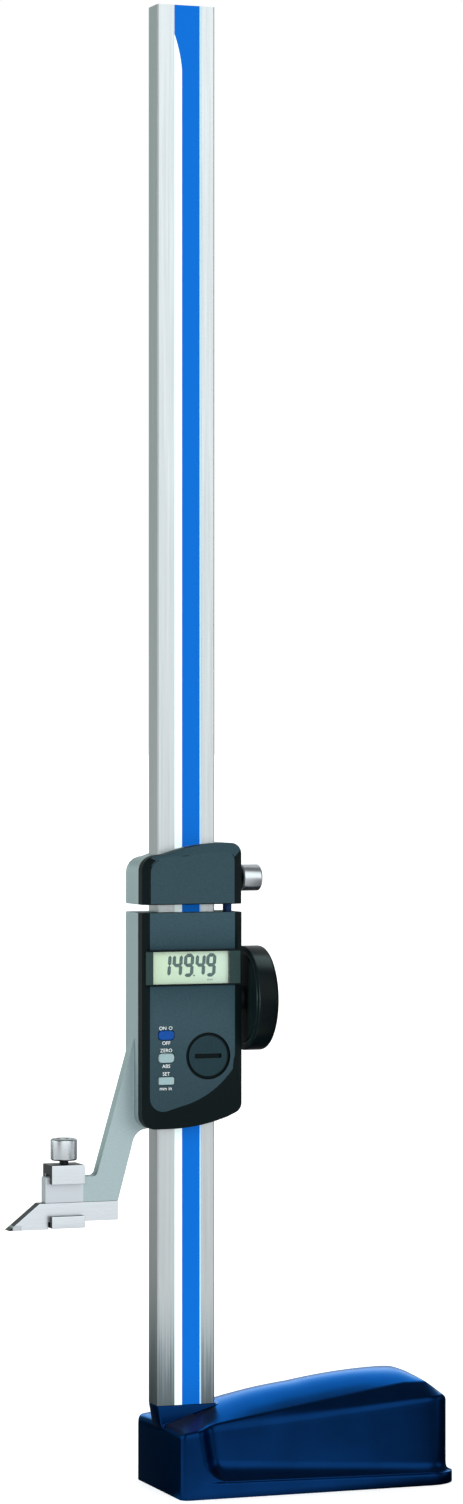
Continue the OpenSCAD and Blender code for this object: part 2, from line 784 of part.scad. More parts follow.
// The ring inside the housing that the battery cover closes
module battery_well() {
    bar_y(cavity_y - over, cavity_y + well_h, plug_r + well_t, battery_x, battery_z);
}
module housing_screws() {
    color(dark) translate([0, 0, reading])
        for (s = [-1, 1]) for (z = housing_screw_zs) cover_screw(s * cover_screw_x, z);
}
module window_bezel() {
    y0 = cover_y0 - bezel_proud;
    color([0.1, 0.13, 0.13]) translate([0, 0, reading]) difference() {
        block([bezel_x - bezel_w / 2, y0, lcd_z - bezel_h / 2],
            [bezel_x + bezel_w / 2, y0 + bezel_t, lcd_z + bezel_h / 2]);
        block([lcd_x - lcd_w / 2, y0 - over, lcd_z - lcd_h / 2],
            [lcd_x + lcd_w / 2, y0 + bezel_t + over, lcd_z + lcd_h / 2]);
    }
}
module window_lens() {
    y0 = cover_y0 - bezel_proud + 0.2;
    color([0.85, 0.9, 0.9, 0.3]) translate([0, 0, reading])
        block([lcd_x - lcd_w / 2 + slide, y0, lcd_z - lcd_h / 2 + slide],
            [lcd_x + lcd_w / 2 - slide, y0 + lens_t, lcd_z + lcd_h / 2 - slide]);
}
module lcd_panel() {
    rim = 1.2;
    color([0.8, 0.86, 0.7]) translate([0, 0, reading])
        block([lcd_x - lcd_w / 2 - rim, lcd_y0, lcd_z - lcd_h / 2 - rim],
            [lcd_x + lcd_w / 2 + rim, lcd_y0 + lcd_t, lcd_z + lcd_h / 2 + rim]);
}
module main_board() {
    color([0.1, 0.35, 0.2]) translate([0, 0, reading])
        block([board_x0, board_y1 - board_t, board_z0], [board_x1, board_y1, board_z1]);
}
module sensor_board() {
    color([0.1, 0.35, 0.2]) translate([0, 0, reading])
        block([sensor_x0, sensor_y1 - board_t, sensor_z0], [sensor_x1, sensor_y1, sensor_z1]);
}
module board_connector() {
    color(dark) translate([0, 0, reading])
        block([film_x - plug_w / 2, board_y1, plug_z0],
            [film_x + plug_w / 2, sensor_y1 - board_t, plug_z1]);
}
module key_mat() {
    mat_y1 = board_y1 - board_t;
    dome_y = cavity_y + 4 * slide + key_flange_t + key_travel;
    color([0.5, 0.5, 0.52]) translate([0, 0, reading]) {
        block([key_x - mat_w / 2, mat_y1 - mat_t, key_mid_z - key_pitch - mat_end],
            [key_x + mat_w / 2, mat_y1, key_mid_z + key_pitch + mat_end]);
        for (i = [-1 : 1])
            bar_y(dome_y, mat_y1 - mat_t / 2, dome_r, key_x, key_mid_z + i * key_pitch);
    }
}
module coin_cell() {
    color(steel) translate([0, 0, reading]) bar_y(cell_y0, cell_y1, cell_r, battery_x, battery_z);
}
module cell_contact() {
    color(brass) translate([0, 0, reading]) difference() {
        block([battery_x - contact_w / 2, cell_y1, battery_z - contact_l / 2],
            [battery_x + contact_w / 2, board_y1 - board_t, battery_z + contact_l / 2]);
        block([battery_x - contact_w, cell_y1 + contact_t, battery_z - contact_l * 0.31],
            [battery_x + contact_w, board_y1 - board_t + over, battery_z + contact_l * 0.31]);
    }
}
// A key: its cap in the housing's opening, and a flange behind that keeps it in
module key(z) {
    translate([0, 0, reading]) {
        pad(key_x, z, key_w, key_h, key_r, cover_y0 - key_proud, cavity_y + 4 * slide);
        pad(key_x, z, key_w + 2 * key_flange, key_h + 2 * key_flange, key_r, cavity_y + 2 * slide,
            cavity_y + 2 * slide + key_flange_t);
    }
}
module power_key() {
    color([0.1, 0.3, 0.75]) key(key_mid_z + key_pitch);
}
module zero_key() {
    color([0.75, 0.8, 0.8]) key(key_mid_z);
}
module unit_key() {
    color([0.75, 0.8, 0.8]) key(key_mid_z - key_pitch);
}
module battery_cover() {
    slot_w = battery_cover_d * 0.63;
    color(dark) translate([0, 0, reading]) difference() {
        union() {
            bar_y(cover_y0 + 2 * slide, cover_y0 + cover_disc_t, battery_cover_d / 2, battery_x, battery_z);
            bar_y(cover_y0 + cover_disc_t - 4 * slide, cell_y0 - 3 * slide, plug_r, battery_x, battery_z);
        }
        block([battery_x - slot_w / 2, cover_y0 - over, battery_z - slot_h / 2],
            [battery_x + slot_w / 2, cover_y0 + 2 * slide + slot_deep, battery_z + slot_h / 2]);
        translate([battery_x, seal_y, battery_z]) rotate([90, 0, 0]) rotate_extrude()
            translate([plug_r, 0]) square([3.5 * seal_r, 2.5 * seal_r], center = true);
    }
}
module battery_seal() {
    color([0.12, 0.12, 0.12]) translate([battery_x, seal_y, reading + battery_z]) rotate([90, 0, 0])
        rotate_extrude() translate([plug_r - 5 * slide, 0]) circle(r = seal_r);
}

// Handwheel and the bevel gears that turn the spindle

module wheel_bearing() {
    color(brass) translate([0, 0, reading]) difference() {
        union() {
            bar_x(spindle_x + pocket_r - 2 * slide, head_x + 4 * slide, shaft_r + bearing_wall,
                spindle_y, axis_z);
            bar_x(head_x, bearing_x1, bearing_r, spindle_y, axis_z);
        }
        bar_x(spindle_x, bearing_x1 + over, shaft_r + run, spindle_y, axis_z);
        for (p = bearing_screw_at) {
            y = spindle_y + p[0];
            z = axis_z + p[1];
            bar_x(head_x - over, bearing_x1 + over, bearing_screw_r + run, y, z);
            bar_x(bearing_x1 - bearing_sink, bearing_x1 + over, bearing_screw_head_r + run, y, z);
        }
    }
}
module bearing_screws() {
    color(dark) translate([0, 0, reading]) for (p = bearing_screw_at)
        translate([bearing_x1 - bearing_sink, spindle_y + p[0], axis_z + p[1]])
            rotate([0, -90, 0])
                cap_screw(bearing_screw_r, bearing_screw_head_r, bearing_screw_head_h,
                    bearing_t - bearing_sink + bearing_screw_grip);
}
module handwheel() {
    r = wheel_d / 2;
    hub_r = 8;
    rim = 6;
    dish = 3;
    slope = 1;
    edge = 2;
    color([0.06, 0.07, 0.08]) translate([wheel_x0, spindle_y, reading + axis_z]) rotate([0, 90, 0])
        rotate_extrude($fn = 96) polygon(concat(
            [[shaft_r, 0], [hub_r, 0], [hub_r + slope, dish], [r - rim - slope, dish], [r - rim, 0]],
            arc(r - edge, edge, edge, -90, 0, 4),
            arc(r - edge, wheel_t - edge, edge, 0, 90, 4),
            [[r - rim, wheel_t], [r - rim - slope, wheel_t - dish], [hub_r + slope, wheel_t - dish],
                [hub_r, wheel_t - hub_in], [shaft_r, wheel_t - hub_in]]
        ));
}
module wheel_shaft() {
    color(steel) translate([0, 0, reading]) difference() {
        union() {
            bar_x(spindle_x - gear_r - 0.6, spindle_x + 1, gear_bore, spindle_y, axis_z);
            bar_x(spindle_x + gear_r, wheel_x1 - hub_in - 0.2, shaft_r, spindle_y, axis_z);
            bar_x(spindle_x + 0.8, spindle_x + gear_r + 0.2, gear_bore, spindle_y, axis_z);
        }
        bar_x(wheel_x1 - wheel_hole, wheel_x1, wheel_screw_r + run, spindle_y, axis_z);
    }
}
// A bevel gear's large face with its teeth, at its pitch radius
module gear_face_outline(turn) {
    step = 360 / gear_teeth;
    root = gear_r - gear_ded;
    tip = gear_r + gear_add;
    polygon([for (i = [0 : gear_teeth - 1]) for (k = [[root, -0.3], [tip, -0.1], [tip, 0.1], [root, 0.3]])
        let (a = turn + (i + k[1]) * step) [k[0] * cos(a), k[0] * sin(a)]]);
}
// A bevel gear whose cone's apex is at the origin, with its large face at +Z
module bevel_gear(turn) {
    difference() {
        translate([0, 0, gear_r]) mirror([0, 0, 1])
            linear_extrude(gear_face, scale = (gear_r - gear_face) / gear_r) gear_face_outline(turn);
        translate([0, 0, gear_r - gear_face - over]) cylinder(h = gear_face + 2 * over, r = gear_bore);
    }
}
module wheel_gear() {
    color(brass) translate([spindle_x, spindle_y, reading + axis_z]) rotate([0, -90, 0]) bevel_gear(0);
}
module wheel_screw() {
    color(steel) translate([wheel_x1 - hub_in, spindle_y, reading + axis_z]) rotate([0, -90, 0])
        cap_screw(wheel_screw_r, wheel_screw_head_r, wheel_screw_head_h, wheel_screw_l);
}
module wheel_cap() {
    color([0.1, 0.11, 0.12]) translate([wheel_x1 - hub_in, spindle_y, reading + axis_z]) rotate([0, 90, 0])
        difference() {
            turned_knob(wheel_cap_r, hub_in - room, 8 * slide, 0);
            translate([0, 0, -over])
                cylinder(h = wheel_screw_head_h + 4 * slide + over, r = wheel_screw_head_r + room);
        }
}
module spindle() {
    color([0.1, 0.14, 0.25]) translate([0, 0, reading]) {
        bar_z(gear_z0, gear_z1 + 0.6, gear_bore, spindle_x, spindle_y);
        bar_z(gear_z1 + 0.4, spindle_top, spindle_r, spindle_x, spindle_y);
    }
}
module spindle_gear() {
    color(brass) translate([spindle_x, spindle_y, reading + axis_z]) bevel_gear(180 / gear_teeth);
}
module spindle_collar() {
    color(steel) translate([0, 0, reading]) difference() {
        bar_z(collar_z0, collar_z0 + collar_h, spindle_r + 0.9, spindle_x, spindle_y);
        bar_z(collar_z0 - over, collar_z0 + collar_h + over, spindle_r, spindle_x, spindle_y);
    }
}
module spindle_bush() {
    color(brass) translate([0, 0, reading]) difference() {
        bar_z(bush_z0, head_top - 0.2, bush_r, spindle_x, spindle_y);
        bar_z(bush_z0 - over, head_top + over, spindle_r + run, spindle_x, spindle_y);
    }
}

// Scriber, and the stirrup that clamps it under the tongue

module scriber_stirrup() {
    y0 = -arm_y - room - stirrup_lip;
    y1 = arm_y + room + stirrup_back;
    color(steel) translate([0, 0, reading]) difference() {
        block([stirrup_x0, y0, stirrup_z0], [stirrup_x1, y1, stirrup_z1]);
        block([stirrup_x0 - over, -arm_y - room, shank_low - pad_gap],
            [stirrup_x1 + over, arm_y + room, stirrup_roof]);
        block([stirrup_x0 - over, y0 - over, lower_lip_z], [stirrup_x1 + over, 0, upper_lip_z]);
        bar_z(tongue_top, stirrup_z1 + over, stud_r + run, stirrup_x, 0);
    }
}
module stirrup_stud() {
    color(dark) translate([0, 0, reading])
        bar_z(tongue_top + pad_gap, stirrup_knob_z + knob_bore, stud_r, stirrup_x, 0);
}
module stirrup_knob() {
    color(steel) translate([stirrup_x, 0, reading + stirrup_knob_z]) difference() {
        turned_knob(knob_r, stirrup_knob_h, knob_bevel, 0);
        translate([0, 0, -over]) cylinder(h = knob_bore + over, r = stud_r);
    }
}
// The scriber's outline: a bevelled nose over the measuring face, then a shank under the tongue
module scriber() {
    top = tongue_low - pad_gap;
    nose_slope = top / tip_rise;
    color(steel) translate([0, 0, reading])
        plate([[tip_w - scriber_reach, 0], [step_x, 0], [step_x, shank_low], [arm_heel_x, shank_low],
            [arm_heel_x, top], [tip_rise - scriber_reach, top], [tip_t / nose_slope - scriber_reach, tip_t],
            [tip_w - scriber_reach, tip_t]], -arm_y, arm_y);
}
module carbide_tip() {
    nose_slope = (tongue_low - pad_gap) / tip_rise;
    color([0.3, 0.32, 0.33]) translate([0, 0, reading])
        plate([[-scriber_reach, 0], [tip_w - scriber_reach, 0], [tip_w - scriber_reach, tip_t],
            [tip_t / nose_slope - scriber_reach, tip_t]], -arm_y, arm_y);
}

base_casting();
column();
column_bolts();
scale_strip();
scale_film();
carriage_body();
carriage_back_plate();
carriage_back_screws();
carriage_cover();
carriage_cover_screws();
spindle_nut();
clamp_pad();
clamp_stud();
clamp_knob();
slider_body();
slider_back_plate();
slider_back_screws();
gib_strip();
gib_screws();
housing_cover();
housing_screws();
window_bezel();
window_lens();
lcd_panel();
main_board();
sensor_board();
board_connector();
key_mat();
coin_cell();
cell_contact();
wheel_bearing();
bearing_screws();
spindle_bush();
power_key();
zero_key();
unit_key();
battery_cover();
battery_seal();
handwheel();
wheel_shaft();
wheel_gear();
wheel_screw();
wheel_cap();
spindle();
spindle_gear();
spindle_collar();
scriber_stirrup();
stirrup_stud();
stirrup_knob();
scriber();
carbide_tip();
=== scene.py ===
# %% [markdown]
# # A digital height gauge
# A height gauge stands on a surface plate and measures upwards: a steel column on a heavy painted base,
# a measuring head that slides on it, and a scriber that points to the left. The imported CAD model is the
# frame. Its nodes already sit in the right place, so this lesson dresses them: some keep their shape and
# get a finish, and those that need softer edges or finer detail are modelled again and replace their node.

# %% Load the frame
import math

import bpy
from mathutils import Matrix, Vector


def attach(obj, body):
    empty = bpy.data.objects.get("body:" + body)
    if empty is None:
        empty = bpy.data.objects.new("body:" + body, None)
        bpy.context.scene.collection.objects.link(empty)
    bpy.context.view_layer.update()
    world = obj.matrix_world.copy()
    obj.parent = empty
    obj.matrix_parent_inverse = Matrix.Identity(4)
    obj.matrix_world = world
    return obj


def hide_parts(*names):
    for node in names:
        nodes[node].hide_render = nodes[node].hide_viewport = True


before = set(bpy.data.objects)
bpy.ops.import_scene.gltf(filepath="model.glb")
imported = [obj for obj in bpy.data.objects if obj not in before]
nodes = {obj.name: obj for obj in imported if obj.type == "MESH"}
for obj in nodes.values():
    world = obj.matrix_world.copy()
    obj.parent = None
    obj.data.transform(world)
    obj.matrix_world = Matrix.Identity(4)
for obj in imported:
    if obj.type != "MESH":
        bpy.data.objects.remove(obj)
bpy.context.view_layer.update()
MM = 0.001

# %% [markdown]
# ## Camera, floor and light
# The photograph looks level at the gauge from its front left, 20 degrees off its face. From the size of
# the base and the top of the column the lens works out at about 106 mm on a 36 mm sensor, 2.5 m away.
# The light is a studio's: a wide white sheet in front, a card on each side, a lit backdrop and a pale floor.
# A few lamps are flagged for one piece each, and stand where that piece is finished.

# %% Camera
VIEW_TURN = math.radians(20)
bpy.ops.object.select_all(action="DESELECT")
bpy.ops.object.camera_add(
    location=(-0.8275, -2.356, 0.431), rotation=(math.radians(90), 0, -VIEW_TURN)
)
camera = bpy.context.object
camera.data.lens = 106
camera.data.sensor_width = 36
camera.data.shift_y = -0.0186
scene = bpy.context.scene
scene.camera = camera
scene.view_settings.view_transform = "Standard"
print("camera", tuple(round(v, 3) for v in camera.location))


# %% Finishes: colours and nodes
def linear(code):
    """An sRGB hex colour as the linear colour that a shader works in."""
    parts = [int(code[i : i + 2], 16) / 255 for i in (1, 3, 5)]
    return [p / 12.92 if p <= 0.04045 else ((p + 0.055) / 1.055) ** 2.4 for p in parts] + [1]


def put(tree, kind, sockets=None, stops=(), **settings):
    """Adds a node. Settings are its own; sockets are its inputs, as values or as outputs to link; stops are
    the places and colours of a ramp, from first to last, each colour as a hex code or linear already."""
    node = tree.nodes.new("ShaderNode" + kind)
    for name, value in settings.items():
        setattr(node, name, value)
    for name, value in (sockets or {}).items():
        if isinstance(value, bpy.types.NodeSocket):
            tree.links.new(value, node.inputs[name])
        else:
            node.inputs[name].default_value = value
    if stops:
        elements = node.color_ramp.elements
        elements[0].position, elements[1].position = stops[0][0], stops[-1][0]
        for position, _ in stops[1:-1]:
            elements.new(position)
        for element, (_, colour) in zip(elements, stops):
            element.color = linear(colour) if isinstance(colour, str) else colour
    return node


def new_finish(name, **sockets):
    """A material with a Principled shader, and its tree, its shader and its Object coordinates."""
    material = bpy.data.materials.new(name)
    material.use_nodes = True
    tree = material.node_tree
    shader = tree.nodes["Principled BSDF"]
    for socket, value in sockets.items():
        shader.inputs[socket.replace("_", " ")].default_value = value
    return material, tree, shader, put(tree, "TexCoord").outputs["Object"]


def paint(material, *pieces):
    """Gives these pieces one finish all over."""
    for piece in pieces:
        piece.data.materials.clear()
        piece.data.materials.append(material)
    print(material.name, "on", *(piece.name for piece in pieces))


def per_mm(size):
    """The texture scale whose features are about this many millimetres across."""
    return 1 / (size * MM)


# %% Floor
# The floor is pale to look at. What the gauge mirrors of it is set apart, because it gives steel and enamel
# their light and dark sides: bright in a strip before the base, in shade behind it and close on its right.
FLOOR_SHADES = (  # metres behind the gauge's middle, and the shade there
    (-1.5, "#b3b3b3"), (-0.5, "#a1a1a1"), (-0.25, "#a1a1a1"), (-0.11, "#b7b7b7"), (-0.085, "#e4e4e4"),
    (-0.042, "#e4e4e4"), (-0.03, "#202020"), (0.25, "#202020"), (0.7, "#717171"), (1.5, "#898989"))
FLOOR_REACH = FLOOR_SHADES[-1][0]
FULL, FIFTH = (1, 1, 1, 1), (0.2, 0.2, 0.2, 1)
floor_paint, tree, shader, place = new_finish("studio_floor_paint", Roughness=0.7, Emission_Strength=2.6)
haze = put(tree, "TexNoise", {"Vector": place, "Scale": 3})
tint = put(tree, "ValToRGB", {"Fac": haze.outputs["Fac"]}, ((0, "#fbfbfb"), (1, "#ffffff")))
turned_place = {}
for turn in (-20, 8, 30):
    slant = put(tree, "Mapping", {"Vector": place, "Rotation": (0, 0, math.radians(turn))})
    turned_place[turn] = put(tree, "SeparateXYZ", {"Vector": slant.outputs["Vector"]}).outputs
nearer = put(tree, "Math", {0: turned_place[8]["Y"], 1: turned_place[30]["Y"]}, operation="MINIMUM")
away = put(tree, "MapRange", {
    "Value": nearer.outputs[0], "From Min": -FLOOR_REACH, "From Max": FLOOR_REACH})
shade = put(tree, "ValToRGB", {"Fac": away.outputs["Result"]},
            [((metres / FLOOR_REACH + 1) / 2, code) for metres, code in FLOOR_SHADES])
to_right = put(tree, "ValToRGB", {"Fac": turned_place[-20]["X"]},
               ((0.06, FULL), (0.11, FIFTH), (0.25, FIFTH), (0.6, FULL)))
mirrored = put(tree, "Mix", {0: 1.0, 6: shade.outputs["Color"], 7: to_right.outputs["Color"]},
               data_type="RGBA", blend_type="MULTIPLY")
seen = put(tree, "LightPath").outputs["Is Camera Ray"]
pale = put(tree, "Mix", {0: seen, 6: linear("#000000"), 7: tint.outputs["Color"]}, data_type="RGBA")
glow = put(tree, "Mix", {0: seen, 6: mirrored.outputs[2], 7: linear("#7a7a7a")}, data_type="RGBA")
tree.links.new(pale.outputs[2], shader.inputs["Base Color"])
tree.links.new(glow.outputs[2], shader.inputs["Emission Color"])

bpy.ops.object.select_all(action="DESELECT")
bpy.ops.mesh.primitive_circle_add(vertices=96, radius=60, fill_type="NGON", location=(0, 0, 0))
floor = bpy.context.object
floor.name = "studio_floor"
paint(floor_paint, floor)

# %% Studio walls
# The walls of the studio are the world. Each lobe is a white sheet: full within one angle of its direction,
# and gone past another. Between them the walls stay dim, which is what gives steel its dark sides.
world = bpy.data.worlds.new("studio")
scene.world = world
world.use_nodes = True
tree = world.node_tree
way = put(tree, "TexCoord").outputs["Generated"]
height = put(tree, "SeparateXYZ", {"Vector": way}).outputs["Z"]
dim = put(tree, "MapRange", {
    "Value": height, "From Min": 0.45, "From Max": 0.9, "To Min": 0.2, "To Max": 0.3})
light = dim.outputs["Result"]
for aim, full, gone, strength in (
    ((0.03, -1.0, 0.2), 31, 54, 2.1),     # a sheet in front, behind the camera
    ((0.36, 0.68, 0.64), 24, 42, 0.7),    # the lit backdrop
    ((-0.94, 0.34, 0.1), 18, 45, 2.2),    # a card on the left
    ((0.97, -0.22, 0.1), 6, 18, 1.6),     # a narrow card on the right
    ((-0.34, 0.94, -0.1), 8, 50, 0.16),   # the wall behind, on the left
):
    facing = put(tree, "VectorMath", {0: way, 1: Vector(aim).normalized()}, operation="DOT_PRODUCT")
    lobe = put(tree, "MapRange", {
        "Value": facing.outputs["Value"], "From Min": math.cos(math.radians(gone)),
        "From Max": math.cos(math.radians(full)), "To Max": strength}, interpolation_type="SMOOTHSTEP")
    light = put(tree, "Math", {0: light, 1: lobe.outputs["Result"]}, operation="ADD").outputs[0]
# The last lobe, the wall, is a little green.
hue = put(tree, "ValToRGB", {"Fac": lobe.outputs["Result"]},
          ((0, (0.97, 1, 1, 1)), (0.15, (0.82, 1, 0.92, 1))))
looked_at = put(tree, "LightPath").outputs["Is Camera Ray"]
power = put(tree, "Mix", {0: looked_at, 2: light, 3: 1.0})
tone = put(tree, "Mix", {0: looked_at, 6: hue.outputs["Color"], 7: FULL}, data_type="RGBA")
tree.links.new(power.outputs[0], tree.nodes["Background"].inputs["Strength"])
tree.links.new(tone.outputs[2], tree.nodes["Background"].inputs["Color"])
print("studio walls with", len(tree.nodes), "nodes")


# %% Lamps for single pieces
def flagged_lamp(name, spot, size, watts, aim, piece, colour=(1, 1, 1)):
    """A square lamp that lights one piece alone."""
    bpy.ops.object.select_all(action="DESELECT")
    bpy.ops.object.light_add(type="AREA", location=spot)
    lamp = bpy.context.object
    lamp.name = name
    lamp.data.size, lamp.data.energy, lamp.data.color = size, watts, colour
    lamp.rotation_euler = (Vector(aim) - lamp.location).to_track_quat("-Z", "Y").to_euler()
    lit = bpy.data.collections.new("lit_by_" + name)
    lit.objects.link(piece)
    lamp.light_linking.receiver_collection = lit
    print(name, "lights", piece.name)
    return lamp


# %% [markdown]
# ## Working by hand, in code
# Each operator acts on what is selected, so everything is deselected first. Outlines are written in
# millimetres as seen from the front. A soft corner is a short curve between two straight runs, and it is
# what makes a machined or moulded edge catch the light.

# %% Helpers: selecting and editing
WELD = 0.002 * MM  # points closer than this become one


def pick(piece):
    """Makes one piece the only selected one."""
    if bpy.context.object and bpy.context.object.mode != "OBJECT":
        bpy.ops.object.mode_set(mode="OBJECT")
    bpy.ops.object.select_all(action="DESELECT")
    piece.select_set(True)
    bpy.context.view_layer.objects.active = piece
    return piece


def edit_all(piece):
    """Opens a piece in edit mode with everything selected."""
    pick(piece)
    bpy.ops.object.mode_set(mode="EDIT")
    bpy.ops.mesh.select_all(action="SELECT")


def close_edit():
    """Merges doubles, turns all faces outwards and leaves edit mode."""
    bpy.ops.mesh.select_all(action="SELECT")
    bpy.ops.mesh.remove_doubles(threshold=WELD)
    bpy.ops.mesh.normals_make_consistent(inside=False)
    bpy.ops.object.mode_set(mode="OBJECT")


# %% Helpers: modifiers and shading
def modify(piece, kind, **settings):
    """Adds a modifier with these settings and applies it."""
    pick(piece)
    bpy.ops.object.modifier_add(type=kind)
    modifier = piece.modifiers[-1]
    for name, value in settings.items():
        setattr(modifier, name, value)
    bpy.ops.object.modifier_apply(modifier=modifier.name)
    return piece


def smooth(piece, angle=42):
    """Shades a piece smooth, apart from edges sharper than the angle in degrees."""
    pick(piece)
    bpy.ops.object.shade_smooth_by_angle(angle=math.radians(angle))
    return piece


def ease_edges(piece, width, segments=3, angle=30, clamp=True):
    """Rounds all edges sharper than the angle, and shades flat faces flat and rounded edges smooth."""
    modify(piece, "BEVEL", width=width * MM, segments=segments, limit_method="ANGLE",
           angle_limit=math.radians(angle), use_clamp_overlap=clamp)
    return modify(smooth(piece), "WEIGHTED_NORMAL", keep_sharp=True)


def cut(piece, tool, operation="DIFFERENCE"):
    """Cuts a piece with a tool, or joins it on, and removes the tool."""
    modify(piece, "BOOLEAN", operation=operation, object=tool, solver="EXACT")
    bpy.data.objects.remove(tool)
    return piece


# %% Helpers: soft corners, plates and blocks
def soften(before, corner, after, back, ahead, steps=5):
    """Points of a curve that replaces a corner: it leaves one run 'back' before it and joins the next."""
    a, c, b = Vector(before), Vector(corner), Vector(after)
    start = c + (a - c).normalized() * min(back, (a - c).length * 0.48)
    end = c + (b - c).normalized() * min(ahead, (b - c).length * 0.48)
    ts = [i / steps for i in range(steps + 1)]
    return [tuple(start * (1 - t) ** 2 + c * 2 * t * (1 - t) + end * t * t) for t in ts]


def plate(name, outline, front, back):
    """A flat outline of (x, z) at y = front, pulled back to y = back."""
    bpy.ops.object.select_all(action="DESELECT")
    bpy.ops.mesh.primitive_circle_add(vertices=len(outline), radius=1, fill_type="NGON")
    piece = bpy.context.object
    piece.name = name
    for vertex, (x, z) in zip(piece.data.vertices, outline):
        vertex.co = (x * MM, front * MM, z * MM)
    edit_all(piece)
    bpy.ops.mesh.extrude_region_move(TRANSFORM_OT_translate={"value": (0, (back - front) * MM, 0)})
    close_edit()
    return piece


def block(name, low, high):
    """A box between two corners in millimetres."""
    x0, y0, z0 = low
    x1, y1, z1 = high
    return plate(name, [(x0, z0), (x1, z0), (x1, z1), (x0, z1)], y0, y1)


# %% Helpers: turned pieces, and handing a piece over
def turned(name, profile, centre, axis, steps):
    """A turned piece: a profile of (radius, distance along the axis) spun about an axis through centre."""
    axis, centre = Vector(axis), Vector(centre)
    side = axis.orthogonal().normalized()
    bpy.ops.object.select_all(action="DESELECT")
    bpy.ops.mesh.primitive_circle_add(vertices=len(profile), radius=1, fill_type="NOTHING")
    piece = bpy.context.object
    piece.name = name
    for vertex, (r, along) in zip(piece.data.vertices, profile):
        vertex.co = (centre + side * r + axis * along) * MM
    edit_all(piece)
    bpy.ops.mesh.spin(steps=steps, angle=2 * math.pi, center=centre * MM, axis=axis)
    bpy.ops.mesh.select_all(action="SELECT")
    bpy.ops.mesh.remove_doubles(threshold=WELD)
    bpy.ops.mesh.delete_loose(use_faces=False)
    close_edit()
    return smooth(piece, 32)


def stands_for(piece, body, slot, *replaced):
    """Puts a finished piece on its body, in place of its CAD nodes."""
    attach(piece, body)
    if replaced:
        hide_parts(*replaced)
    print(piece.name, "rides on", body, "with", len(piece.data.polygons), "faces")


# %% [markdown]
# ## The base
# The base is a grey iron casting with a hump for the hand, painted in gloss navy enamel. Castings have no
# sharp edges, and a gloss paint shows every dent in a mesh, so a bevelled box would not do. Here a flat
# grid is bent into half of the casting, station by station along its length. Each station runs from the
# middle of the foot, round the plinth and the hollow side panel, over the shoulder to the crown.

# %% Base: sizes, soft steps and rounded ends
BASE_X0, BODY_X1, BASE_X1 = -13.5, 151.5, 154.5
BASE_Y, NOSE_R, TAIL_R = 40.0, 4.5, 18.0
CREST_X, TAIL_X = 124.3, 132.0
NOSE_X, PANEL_X = -4.5, 12.0
COVE_LEAN, COVE_Z, COVE_TALL = 4.5, 10.0, 26.0
CROWN_Z, CROWN_RISE, CROWN_FILL, TAIL_FALL = 37.5, 25.0, 1.8, 0.68
# Each pair is a height or a depth where its line starts on the left, and where it ends on the right.
PLINTH_Z, RIDGE_Z, PANEL_Z = (9.5, 6.5), (36.9, 57.5), (35.5, 50.7)
COVE_DEEP, FOOT_COVE, SHOULDER = (8.0, 2.0), (11.0, 4.5), (5.0, 1.6)


def ease(t):
    """A soft step from 0 to 1."""
    t = min(max(t, 0), 1)
    return t * t * (3 - 2 * t)


def lerp(a, b, t):
    """A straight run from a to b, held at both ends."""
    return a + (b - a) * min(max(t, 0), 1)


def rounding(distance, r):
    """How far a rounded corner draws back at this distance from its end."""
    return 0 if distance >= r else r - math.sqrt(max(0, r * r - (r - distance) ** 2))


print("base from X", BASE_X0, "to", BASE_X1)


# %% Base: its lines along the length
def plinth_height(x):
    """The top of the plinth."""
    return lerp(*PLINTH_Z, (x - BASE_X0) / (BASE_X1 - BASE_X0))


def crown_height(x):
    """The hump's middle line: a rise to the crest, fuller near the column, and a fall to the tail."""
    rise = CROWN_RISE * math.sin(math.pi / 2 * min(1, (x - BASE_X0) / (CREST_X - BASE_X0)))
    fill = CROWN_FILL * math.sin(math.pi * min(1, (x - BASE_X0) / 80))
    fall = TAIL_FALL * (x - TAIL_X + math.hypot(x - TAIL_X, 3)) / 2
    return CROWN_Z + rise + fill - fall - rounding(x - BASE_X0, 2.4) - rounding(BODY_X1 - x, 1.5)


def ridge_height(x):
    """The line where the shoulder turns into the crown."""
    return min(crown_height(x) - 1.2, lerp(*RIDGE_Z, (x - BASE_X0) / (CREST_X - BASE_X0)))


def panel_height(x):
    """The line where the side panel turns into the shoulder."""
    return min(ridge_height(x) - 1.4, lerp(*PANEL_Z, (x - BASE_X0) / (BASE_X1 - BASE_X0)))


def half_width(x, end):
    """Half of the width at x, on a plan with rounded corners that stops at this end."""
    return BASE_Y - rounding(x - BASE_X0, NOSE_R) - rounding(end - x, TAIL_R)


def hollow(x, z):
    """How far the side panel lies back: a leaning cove on its left and one at its foot, joined by a round."""
    lean = lerp(COVE_LEAN, 0, (z - COVE_Z) / COVE_TALL)
    along = ease((x - NOSE_X - lean) / (PANEL_X - NOSE_X))
    to_tail = (x - PANEL_X) / (BODY_X1 - PANEL_X)
    up = min(max((z - plinth_height(x) - 0.3) / lerp(*FOOT_COVE, to_tail), 0), 1)
    inside = max(0, 1 - math.hypot(1 - along, 1 - up))
    return lerp(*COVE_DEEP, to_tail) * math.sin(math.pi / 2 * inside)


print("height of the crest:", round(crown_height(CREST_X), 1))


